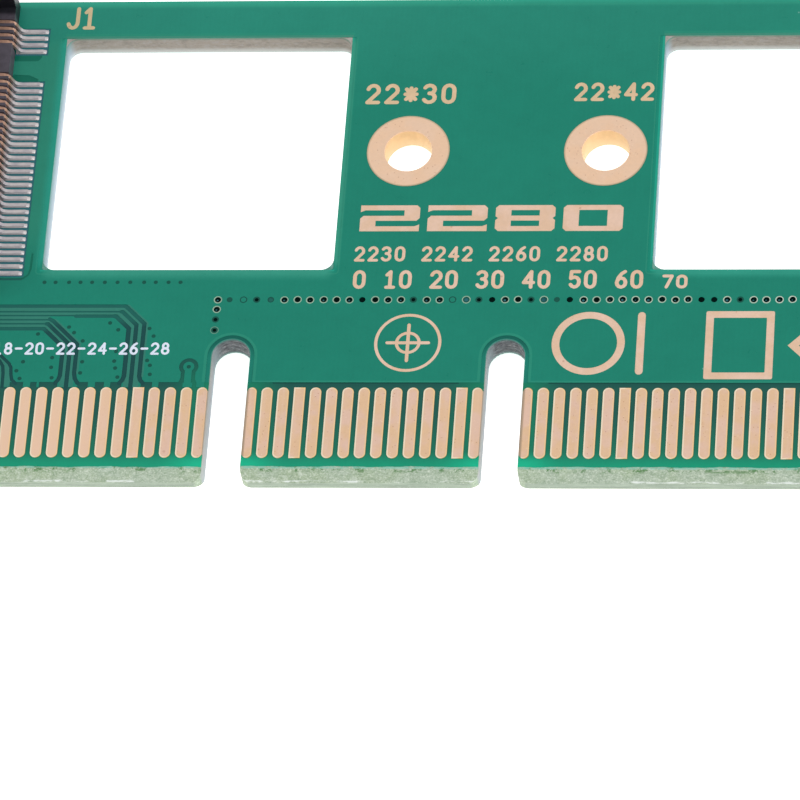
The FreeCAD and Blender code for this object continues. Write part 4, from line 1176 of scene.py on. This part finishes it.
# gold print: drive sizes, the socket mark and plain numbers
GOLD_TEXT = [
    ("print_dull", text("22*30", 39.62, 3.58, 0.80, 1.26, 1.195, 0.27)),
    ("print_dull", text("22*42", 52.76, 3.74, 0.70, 1.14, 1.045, 0.25)),
    ("print_dull", text("22*60", 70.44, 3.74, 0.70, 1.14, 1.045, 0.25)),
    ("print_dull", text("22*80", 90.44, 3.74, 0.70, 1.14, 1.045, 0.25)),
    ("print_dull", text("J1", 20.02, 9.32, 0.80, 1.46, 1.02, 0.26)),
    ("print", text("2230 2242 2260 2280", 39.72, -8.06, 0.56, 0.92, 0.838, 0.20)),
    ("print", text("0 10 20 30 40 50 60", 39.78, -10.02, 0.66, 1.12, 0.955, 0.24)),
    ("print", text("70", 58.92, -10.02, 0.60, 0.80, 0.86, 0.21)),
]


def block_digit(ch, x, y, w, h):
    """Wide slab digit: flat bars, thick uprights, small spurs at the open ends."""
    t, v, c, m = 0.37, 0.98, 0.20, h / 2
    if ch == "2":
        q = [(0, h), (w - c, h), (w, h - c), (w, m - t / 2 + c), (w - c, m - t / 2), (v, m - t / 2), (v, t),
             (w - 0.30, t), (w, t + 0.13), (w, 0), (0, 0), (0, m + t / 2 - c), (c, m + t / 2), (w - v, m + t / 2),
             (w - v, h - t), (0.30, h - t), (0, h - t - 0.13)]
        loops = [q]
    else:
        waist = 0.16 if ch == "8" else 0.0
        q = [(c, 0), (w - c, 0), (w, c), (w, m - 0.14), (w - waist, m), (w, m + 0.14), (w, h - c), (w - c, h),
             (c, h), (0, h - c), (0, m + 0.14), (waist, m), (0, m - 0.14), (0, c)]
        if ch == "8":
            loops = [q, rect(v, t, w - v, m - t / 2), rect(v, m + t / 2, w - v, h - t)]
        else:
            loops = [q, rect(v, t, w - v, h - t)]
    return [[(x + px, y + py) for px, py in lp] for lp in loops]


# registration target
add("print", circle(43.43, -14.02, 2.08, 56), circle(43.43, -14.02, 1.88, 52))
add_all("print", [stroke([(42.15, -14.02), (44.71, -14.02)], 0.22), stroke([(43.43, -15.30), (43.43, -12.74)], 0.22)])
add("print", circle(43.43, -14.02, 0.80, 30), circle(43.43, -14.02, 0.60, 26))
# line-width marks
add("print", circle(54.55, -14.05, 2.25, 56), circle(54.55, -14.05, 1.77, 48))
add_all("print", [stroke([(57.75, -16.05), (57.75, -12.05)], 0.48)])
add("print", rounded([(61.7, -16.6, 0.12), (65.9, -16.6, 0.12), (65.9, -11.75, 0.12), (61.7, -11.75, 0.12)], 4),
    rounded([(62.18, -16.12, 0.05), (65.42, -16.12, 0.05), (65.42, -12.23, 0.05), (62.18, -12.23, 0.05)], 3))
add("print", [(69.2, -16.65), (71.65, -14.2), (69.2, -11.75), (66.75, -14.2)],
    [(69.2, -15.95), (70.95, -14.2), (69.2, -12.45), (67.45, -14.2)])
# bracket holes' lands
for hy in (7.0, -10.9):
    add("print", circle(-42.1, hy, 3.3, 48))

# pads of the small parts
BULK = [(2.6, 8.3), (2.6, 5.9), (2.6, 3.5)]
DECOUPLING = [(2.8, 0.6), (2.8, -1.2), (2.8, -3.0), (2.8, -4.8), (2.8, -6.6), (2.8, -8.4)]
RESISTORS = [(-9.0, 0.4), (-9.0, -1.4), (-9.0, -3.2), (-9.0, -5.0)]
LEDS = [(-15.0, 8.8), (-19.5, 8.8)]


def chip_pads(cx, cy, length, width):
    for s in (-1, 1):
        xa, xb = sorted((cx + s * (length / 2 - 0.30 * length), cx + s * (length / 2 + 0.32)))
        add("solder", rounded([(xa, cy - width / 2 - 0.06, 0.06), (xb, cy - width / 2 - 0.06, 0.06),
                               (xb, cy + width / 2 + 0.06, 0.06), (xa, cy + width / 2 + 0.06, 0.06)], 3))


def chip_route(cx, cy, length, width):
    """Dark clearance round each pad and its two short necks."""
    for s in (-1, 1):
        xa, xb = sorted((cx + s * (length / 2 - 0.36 * length), cx + s * (length / 2 + 0.50)))
        add("dark", rounded([(xa, cy - width / 2 - 0.24, 0.15), (xb, cy - width / 2 - 0.24, 0.15),
                             (xb, cy + width / 2 + 0.24, 0.15), (xa, cy + width / 2 + 0.24, 0.15)], 3))
        add("copper", rect(min(cx + s * length / 2, cx + s * (length / 2 + 0.6)), cy - 0.14,
                           max(cx + s * length / 2, cx + s * (length / 2 + 0.6)), cy + 0.14))


for group, length, width in ((BULK, 2.0, 1.25), (DECOUPLING, 1.6, 0.8), (RESISTORS, 1.6, 0.8), (LEDS, 1.6, 0.8),
                             ([(-4.2, 6.2)], 3.5, 2.4)):
    for cx, cy in group:
        chip_route(cx, cy, length, width)
for group, length, width in ((BULK, 2.0, 1.25), (DECOUPLING, 1.6, 0.8), (RESISTORS, 1.6, 0.8), (LEDS, 1.6, 0.8),
                             ([(-4.2, 6.2)], 3.5, 2.4)):
    for cx, cy in group:
        chip_pads(cx, cy, length, width)
# a few conductors between the small parts and the socket
for pts in ([(-8.0, 0.4), (-3.0, 0.4), (0.5, -3.0), (1.2, -3.0)], [(-8.0, -1.4), (-4.0, -1.4), (-0.6, -4.8), (1.2, -4.8)],
            [(-10.2, -3.2), (-14.0, -3.2), (-16.6, -0.6), (-16.6, 7.4), (-15.9, 8.1)],
            [(-10.2, -5.0), (-15.0, -5.0), (-21.0, 1.0), (-21.0, 7.4), (-20.4, 8.1)]):
    F.append(("dark", stroke(pts, 0.52, False, True)))
    F.append(("copper", stroke(pts, 0.22, False, True)))

# white print: plain contact numbers, outlines of the small parts
add_all("silk", text("16-18-20-22-24-26-28", 15.74, -14.82, 0.46, 0.735, 0.655, 0.15))
for group, length, width in ((BULK, 2.0, 1.25), (DECOUPLING, 1.6, 0.8), (RESISTORS, 1.6, 0.8), (LEDS, 1.6, 0.8)):
    for cx, cy in group:
        for s in (-1, 1):
            yy = cy + s * (width / 2 + 0.22)
            add_all("silk", [stroke([(cx - length / 2 - 0.3, yy), (cx + length / 2 + 0.3, yy)], 0.12)])
add_all("silk", [stroke([(-4.2 - 2.4, 8.0), (-4.2 + 2.4, 8.0)], 0.14), stroke([(-4.2 - 2.4, 4.4), (-4.2 + 2.4, 4.4)], 0.14),
                 stroke([(-6.6, 4.4), (-6.6, 8.0)], 0.14)])
for i, (cx, cy) in enumerate(BULK):
    add_all("silk", text(str(1 + i), 0.2, cy - 0.4, 0.5, 0.8, 0.7, 0.13))
for i, (cx, cy) in enumerate(DECOUPLING):
    add_all("silk", text(str(4 + i), 0.2, cy - 0.4, 0.5, 0.8, 0.7, 0.13))
for i, (cx, cy) in enumerate(RESISTORS):
    add_all("silk", text(str(1 + i), -11.9, cy - 0.4, 0.5, 0.8, 0.7, 0.13))

# openings last
def window_band(i, left, right, low, r):
    """Square-cornered band round three sides of a window; the far side has none."""
    x0, x1 = WINDOWS[i]
    return rounded([(x0 - left, -8.73 - low, r), (x1 + right, -8.73 - low, r), (x1 + right, 8.50, 0.05),
                    (x0 - left, 8.50, 0.05)], 4)


for i in range(3):
    add("rim", window_band(i, 0.42, 0.38, 0.36, 0.25))
    add("edgeb", window_band(i, 0.34, 0.29, 0.27, 0.18))
    add("edge", window_band(i, 0.15, 0.10, 0.10, 0.08))
# lit lip of the mask along the far side of each window
for i in range(3):
    x0, x1 = WINDOWS[i]
    add("rim", rect(x0 - 0.1, 8.50, x1 + 0.1, 8.84))
    add("lip", rect(x0 - 0.05, 8.50, x1 + 0.05, 8.66))
for cls_name, loops in GOLD_TEXT:
    add_all(cls_name, loops)
for i, ch in enumerate("2280"):
    add("print", *block_digit(ch, 39.85 + 4.22 * i, -5.95, 3.72, 1.90))
for i in range(3):
    add("none", window_band(i, 0.004, 0.004, 0.004, 0.16))
for hx in HOLES:
    add("none", circle(hx, -0.05, 2.605, 64))
for hy in (7.0, -10.9):
    add("none", circle(-42.1, hy, 1.71, 32))
for s in (-1, 1):
    add("none", circle(12.2, s * 9.9, 0.62, 20))
for n in PADS:
    add("none", finger_loop(n, 0.004))
for cx, w, _ in KEYS[1:]:
    for s in (-1, 1):
        xa, xb = sorted((cx + s * (w / 2 - 0.01), cx + s * (w / 2 + 0.075)))
        add("none", rect(xa, -22.0, xb, -17.45))
# ragged lower end of the mask along the bevel
pts = []
x = -1.9
while x < 83.3:
    wave = 0.022 * math.sin(x * 1.31) + 0.014 * math.sin(x * 3.7 + 1.0)
    pts.append((x, (-22.84 if x < 32.5 else -22.785) + wave + random.uniform(-0.012, 0.012)))
    x += random.uniform(0.06, 0.2)
add("none", [(-2.2, -24.2)] + [(-2.2, -22.80)] + pts + [(83.4, -22.80), (83.4, -24.2)])

V2, T, cls, names = arrange(F)
# nothing outside the board
outl = np.array(rounded(inset(OUTLINE, 0.003)))
Cn = V2[T].mean(1)
inside = np.zeros(len(T), bool)
x0, y0 = outl[:, 0], outl[:, 1]
x1, y1 = np.roll(x0, -1), np.roll(y0, -1)
for k in range(len(outl)):
    if y0[k] == y1[k]:
        continue
    cond = (y0[k] > Cn[:, 1]) != (y1[k] > Cn[:, 1])
    xi = (x1[k] - x0[k]) * (Cn[:, 1] - y0[k]) / (y1[k] - y0[k]) + x0[k]
    inside ^= cond & (Cn[:, 0] < xi)
cls[~inside] = 0

front = build_layer("front_", V2, T, cls, names, {
    "solder_mask": {"copper": (0.036, M_COPPER), "rim": (0.036, M_RIM), "trace": (0.036, M_TRACE),
                    "edge": (0.015, M_EDGE), "edgeb": (0.016, M_EDGEB), "ring_dark": (0.016, M_RINGD),
                    "ring_edge": (0.015, M_RINGE), "dark": (0.015, M_DARK), "gap": (0.014, M_GAP),
                    "gap_thin": (0.016, M_GAPT), "tent": (0.031, M_TENT), "shade": (0.016, M_SHADE),
                    "lip": (0.036, M_LIT), "under": (0.014, M_STEP_SHADOW)},
    "gold_print": {"print": (0.030, M_PRINT), "print_dull": (0.030, M_PRINT2)},
    "white_print": {"silk": (0.046, M_SILK)},
    "solder_lands": {"solder": (0.030, M_SOLDER)},
    "bare_core": {"core": (0.008, M_CORE)},
    "via_lands": {"via_ring": (0.033, M_VRING), "via_dull": (0.033, M_VRINGD)},
    "via_bores": {"via_hole": (0.004, M_BORE_SHADE), "via_glint": (0.010, M_GLINT)},
}, False)

# ------------------------------------------------------------------ back face
F = []
add("edge", rounded(inset(OUTLINE, 0.003)))
add("edgeb", rounded(inset(OUTLINE, 0.13)))
add("rim", rounded(inset(OUTLINE, 0.33)))
add("copper", rounded(inset(OUTLINE, 0.46)))
for cx, w, top in KEYS:
    for cls_name, grow in (("rim", 0.375), ("ring_dark", 0.275)):
        add(cls_name, rounded([(cx - w / 2 - grow, -17.4, 0.0), (cx + w / 2 + grow, -17.4, 0.0),
                               (cx + w / 2 + grow, top + grow, w / 2 + grow - 1e-3),
                               (cx - w / 2 - grow, top + grow, w / 2 + grow - 1e-3)], 10))
for i in range(0, len(xs), 2):
    add("dark", rect(xs[i] - 0.5, -23.5, xs[i + 1] + 0.5, BAND_Y))
for a, b in NECKS[::2] + [(-1.2, -0.8), (2.8, 3.2), (5.8, 6.2)]:
    add("copper", rect(a, -17.22, b, BAND_Y + 0.02))
for x in RINGED + BLACK + FILLED:
    via(x, VY, "ring")
for x in DIM:
    via(x, VY, "dim")
for x, y in SMALL:
    via(x, y, "small")
via(31.38, -11.62, "ring")
via(31.36, -12.35, "ring")
via(31.36, -13.12, "dimring")
for k in range(5):
    px = 13.0 + 1.6 * k
    F.append(("dark", stroke([(px, -17.2), (px, -15.0 + 0.5 * k), (px - 2.4, -12.6 + 0.5 * k), (4.0, -12.6 + 0.5 * k),
                              (0.6, -9.2 + 0.5 * k), (0.6, -4.0 + 1.6 * k)], 0.46, False, True)))
    F.append(("copper", stroke([(px, -17.2), (px, -15.0 + 0.5 * k), (px - 2.4, -12.6 + 0.5 * k), (4.0, -12.6 + 0.5 * k),
                                (0.6, -9.2 + 0.5 * k), (0.6, -4.0 + 1.6 * k)], 0.2, False, True)))
for hy in (7.0, -10.9):
    add("print", rounded([(-46.1, hy - 3.6, 0.6), (-38.2, hy - 3.6, 0.6), (-38.2, hy + 3.6, 0.6), (-46.1, hy + 3.6, 0.6)], 5))
for i in range(3):
    add("rim", window(i, 0.42))
    add("edgeb", window(i, 0.34))
    add("edge", window(i, 0.14))
for i in range(3):
    add("none", window(i, 0.004))
for hx in HOLES:
    add("none", circle(hx, -0.05, 2.605, 64))
for hy in (7.0, -10.9):
    add("none", circle(-42.1, hy, 1.71, 32))
for s in (-1, 1):
    add("none", circle(12.2, s * 9.9, 0.62, 20))
for n in PADS:
    add("none", finger_loop(n, 0.004))
add("none", [(-2.2, -24.2), (-2.2, -22.80)] + [(px, py + 0.01) for px, py in pts] + [(83.4, -22.80), (83.4, -24.2)])
V2, T, cls, names = arrange(F)
Cn = V2[T].mean(1)
inside = np.zeros(len(T), bool)
for k in range(len(outl)):
    if y0[k] == y1[k]:
        continue
    cond = (y0[k] > Cn[:, 1]) != (y1[k] > Cn[:, 1])
    xi = (x1[k] - x0[k]) * (Cn[:, 1] - y0[k]) / (y1[k] - y0[k]) + x0[k]
    inside ^= cond & (Cn[:, 0] < xi)
cls[~inside] = 0
back = build_layer("back_", V2, T, cls, names, {
    "solder_mask": {"copper": (0.036, M_COPPER), "rim": (0.036, M_RIM), "edge": (0.015, M_EDGE),
                    "edgeb": (0.016, M_EDGEB), "ring_dark": (0.016, M_RINGD), "dark": (0.015, M_DARK),
                    "gap": (0.014, M_GAP), "tent": (0.031, M_TENT)},
    "gold_print": {"print": (0.010, M_PRINT)},
    "via_lands": {"via_ring": (0.033, M_VRING), "via_dull": (0.033, M_VRINGD)},
    "via_bores": {"via_hole": (0.004, M_BORE_SHADE), "via_glint": (0.010, M_GLINT)},
}, True)


# ------------------------------------------------------------------ solder and small parts
def mesh_object(name, bm, mats):
    me = bpy.data.meshes.new(name)
    bm.to_mesh(me)
    bm.free()
    for m in mats:
        me.materials.append(m)
    ob = bpy.data.objects.new(name, me)
    scene.collection.objects.link(ob)
    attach(ob, "root")
    return ob


def solder_rows(name, ys, xa, xb, toe):
    """One rounded mound of solder over each contact's foot. toe is the x of the free end."""
    bm = bmesh.new()
    NX, NY = 14, 8
    for y in ys:
        h0 = 0.155 + random.uniform(-0.012, 0.018)
        grid = []
        for i in range(NX + 1):
            t = i / NX
            x = xa + (xb - xa) * t
            free = abs(x - toe) / abs(xb - xa)          # 0 at the toe, 1 at the heel
            along = min(1.0, (free / 0.10)) ** 0.5
            row = []
            for j in range(NY + 1):
                s = -1 + 2 * j / NY
                prof = math.sqrt(max(0.0, 1 - abs(s) ** 2.6))
                hh = 0.044 + (h0 - 0.044) * along * prof * (0.82 + 0.18 * free)
                wob = 0.004 * math.sin(9 * t + y * 13)
                row.append(bm.verts.new(W(x, y + s * 0.145 * (1 + wob), hh)))
            grid.append(row)
        base = [[bm.verts.new(W(v.co.x * 0 + (xa + (xb - xa) * i / NX), y + (-1 + 2 * j / NY) * 0.145, 0.02))
                 for j, v in enumerate(row) if j in (0, NY)] for i, row in enumerate(grid)]
        for i in range(NX):
            for j in range(NY):
                bm.faces.new((grid[i][j], grid[i + 1][j], grid[i + 1][j + 1], grid[i][j + 1]))
    bmesh.ops.recalc_face_normals(bm, faces=bm.faces)
    loose = [v for v in bm.verts if not v.link_faces]
    bmesh.ops.delete(bm, geom=loose, context="VERTS")
    for f in bm.faces:
        f.smooth = True
    ob = mesh_object(name, bm, [M_SOLDER])
    return ob


solder_rows("front_row_solder", FRONT_PINS, 17.22, 18.90, 18.90)
solder_rows("rear_row_solder", REAR_PINS, 6.77, 8.20, 6.77)


def add_box(bm, x0, x1, y0, y1, z0, z1, mat, bevel=0.0, seg=2):
    vs = [bm.verts.new(W(x, y, z)) for x in (x0, x1) for y in (y0, y1) for z in (z0, z1)]
    idx = [(0, 1, 3, 2), (4, 6, 7, 5), (0, 4, 5, 1), (2, 3, 7, 6), (0, 2, 6, 4), (1, 5, 7, 3)]
    fs = []
    for q in idx:
        f = bm.faces.new([vs[i] for i in q])
        f.material_index = mat
        fs.append(f)
    if bevel > 0:
        es = list({e for f in fs for e in f.edges})
        r = bmesh.ops.bevel(bm, geom=es, offset=bevel * 1e-3, segments=seg, profile=0.6, affect="EDGES")
        for f in r["faces"]:
            f.material_index = mat
            f.smooth = True


def add_fillet(bm, x_body, x_toe, y0, y1, h, mat):
    """Concave solder fillet from a chip's end down to its land."""
    n = 6
    prof = [(x_body + (x_toe - x_body) * t, 0.045 + (h - 0.045) * (1 - t) ** 2.2) for t in [i / n for i in range(n + 1)]]
    rows = []
    for x, z in prof:
        rows.append([bm.verts.new(W(x, yy, z)) for yy in (y0, y0 + 0.1 * (y1 - y0), y1 - 0.1 * (y1 - y0), y1)])
    for i in range(n):
        for j in range(3):
            f = bm.faces.new((rows[i][j], rows[i + 1][j], rows[i + 1][j + 1], rows[i][j + 1]))
            f.material_index = mat
            f.smooth = True
    for side in (0, 3):
        foot = [bm.verts.new(W(x, (y0, 0, 0, y1)[side], 0.03)) for x, _ in prof]
        for i in range(n):
            f = bm.faces.new((rows[i][side], rows[i + 1][side], foot[i + 1], foot[i]))
            f.material_index = mat


def chips(name, node, places, length, width, height, body_mat, cap_frac=0.22):
    bm = bmesh.new()
    for cx, cy in places:
        end = cap_frac * length
        add_box(bm, cx - length / 2 + 0.06, cx + length / 2 - 0.06, cy - width / 2 + 0.02, cy + width / 2 - 0.02,
                0.0, height - 0.02, 0, 0.05)
        for s in (-1, 1):
            xa, xb = sorted((cx + s * length / 2, cx + s * (length / 2 - end)))
            add_box(bm, xa, xb, cy - width / 2, cy + width / 2, 0.0, height, 1, min(0.07, height * 0.2), 3)
            add_fillet(bm, cx + s * (length / 2 - 0.01), cx + s * (length / 2 + 0.27), cy - width / 2 + 0.03,
                       cy + width / 2 - 0.03, height * 0.62, 2)
    bmesh.ops.recalc_face_normals(bm, faces=bm.faces)
    ob = mesh_object(name, bm, [body_mat, M_TIN, M_SOLDER])
    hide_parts(node)
    return ob


chips("bulk_capacitor_bodies", "bulk_capacitors", BULK, 2.0, 1.25, 1.25, M_CERAMIC)
chips("decoupling_capacitor_bodies", "decoupling_capacitors", DECOUPLING, 1.6, 0.8, 0.8, M_CERAMIC)
chips("resistor_bodies", "resistors", RESISTORS, 1.6, 0.8, 0.45, M_RESIST)


def leds(name, node, cx, cy, lens):
    bm = bmesh.new()
    add_box(bm, cx - 0.8, cx + 0.8, cy - 0.4, cy + 0.4, 0.0, 0.24, 0, 0.03)
    add_box(bm, cx - 0.55, cx + 0.55, cy - 0.39, cy + 0.39, 0.22, 0.62, 1, 0.09, 3)
    for s in (-1, 1):
        xa, xb = sorted((cx + s * 0.805, cx + s * 0.58))
        add_box(bm, xa, xb, cy - 0.395, cy + 0.395, 0.0, 0.255, 2, 0.02)
        add_fillet(bm, cx + s * 0.79, cx + s * 1.06, cy - 0.36, cy + 0.36, 0.2, 3)
    bmesh.ops.recalc_face_normals(bm, faces=bm.faces)
    ob = mesh_object(name, bm, [M_LED, lens, M_FINGER, M_SOLDER])
    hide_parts(node)


leds("power_led_body", "power_led", LEDS[0][0], LEDS[0][1], M_LEDG)
leds("activity_led_body", "activity_led", LEDS[1][0], LEDS[1][1], M_LEDR)

bm = bmesh.new()
cx, cy = -4.2, 6.2
add_box(bm, cx - 1.65, cx + 1.65, cy - 1.4, cy + 1.4, 0.12, 1.9, 0, 0.14, 3)
add_box(bm, cx + 0.95, cx + 1.45, cy - 1.405, cy + 1.405, 1.2, 1.905, 1, 0.10, 2)
for s in (-1, 1):
    xa, xb = sorted((cx + s * 1.75, cx + s * 1.60))
    add_box(bm, xa, xb, cy - 1.1, cy + 1.1, 0.0, 1.0, 2, 0.04)
    add_fillet(bm, cx + s * 1.73, cx + s * 2.02, cy - 1.05, cy + 1.05, 0.55, 3)
bmesh.ops.recalc_face_normals(bm, faces=bm.faces)
ob = mesh_object("storage_capacitor_body", bm, [M_TANT, M_BAND, M_TIN, M_SOLDER])
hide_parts("storage_capacitor")


# ------------------------------------------------------------------ CAD nodes
def finish_node(node, material, bevel=0.0, angle=30.0, segments=2, smooth=True):
    o = NODES[node]
    o.data.materials.clear()
    o.data.materials.append(material)
    if bevel > 0:
        m = o.modifiers.new("edge_break", "BEVEL")
        m.width = bevel * 1e-3
        m.segments = segments
        m.limit_method = "ANGLE"
        m.angle_limit = math.radians(angle)
        m.harden_normals = False
        m.use_clamp_overlap = True
    return o


finish_node("circuit_board", M_LAM)
finish_node("edge_contacts_front", M_FINGER)
finish_node("edge_contacts_back", M_FINGER)
for k in ("30", "42", "60", "80"):
    finish_node("plated_hole_" + k, M_RING, 0.045, 40.0, 3)
finish_node("socket_housing", M_BLACK)
finish_node("socket_contacts_front", M_CONTACT)
finish_node("socket_contacts_rear", M_CONTACT)
finish_node("socket_hold_downs", M_TIN)
finish_node("ssd_standoff", M_BRASS)
finish_node("standoff_nut", M_STEEL)
finish_node("ssd_screw", M_STEEL)
finish_node("bracket", M_SHEET)
finish_node("bracket_screw_upper", M_STEEL)
finish_node("bracket_screw_lower", M_STEEL)

# ------------------------------------------------------------------ floor, light
me = bpy.data.meshes.new("floor")
S = 6.0
me.from_pydata([(-S, -S, 0), (S, -S, 0), (S, S, 0), (-S, S, 0)], [], [(0, 1, 2, 3)])
floor = bpy.data.objects.new("floor", me)
scene.collection.objects.link(floor)
g = G("floor_white")
fn, _ = g.noise(3.0, 2.0, 0.5)
me.materials.append(g.set(color=g.mix(g.smooth(fn, 0.3, 0.7), (0.86, 0.86, 0.86), (0.84, 0.84, 0.845)), rough=0.7,
                          spec=0.2, emit=(1.0, 1.0, 1.0), emit_strength=0.93))
floor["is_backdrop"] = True

world = bpy.data.worlds.new("world")
scene.world = world
world.use_nodes = True
bg = world.node_tree.nodes["Background"]
bg.inputs[0].default_value = (1.0, 1.0, 1.0, 1.0)
bg.inputs[1].default_value = 0.62


def lamp(name, loc, target, size, power, colour=(1, 1, 1)):
    d = bpy.data.lights.new(name, "AREA")
    d.shape = "RECTANGLE"
    d.size, d.size_y = size
    d.energy = power
    d.color = colour
    o = bpy.data.objects.new(name, d)
    scene.collection.objects.link(o)
    o.location = loc
    o.rotation_euler = (Vector(target) - Vector(loc)).to_track_quat("-Z", "Y").to_euler()
    o.visible_camera = False
    return o


lamp("softbox_right", (0.95, -0.1, 0.65), (0.02, 0, 0), (0.8, 0.6), 5.6, (0.92, 0.97, 1.0))
lamp("softbox_left", (-0.9, -0.25, 0.7), (0.0, 0, 0), (0.8, 0.6), 2.0, (1.0, 0.98, 0.95))
lamp("softbox_front", (0.1, -0.55, 1.15), (0.0, 0, 0), (1.0, 0.5), 2.4, (1.0, 0.985, 0.96))

scene.view_settings.view_transform = "Standard"
scene.view_settings.look = "None"
scene.view_settings.exposure = 0.0
scene.view_settings.gamma = 1.0

tri = 0
dg = bpy.context.evaluated_depsgraph_get()
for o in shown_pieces():
    e = o.evaluated_get(dg)
    mm = e.to_mesh()
    mm.calc_loop_triangles()
    tri += len(mm.loop_triangles)
    e.to_mesh_clear()
print("triangles", tri)
bpy.context.view_layer.update()
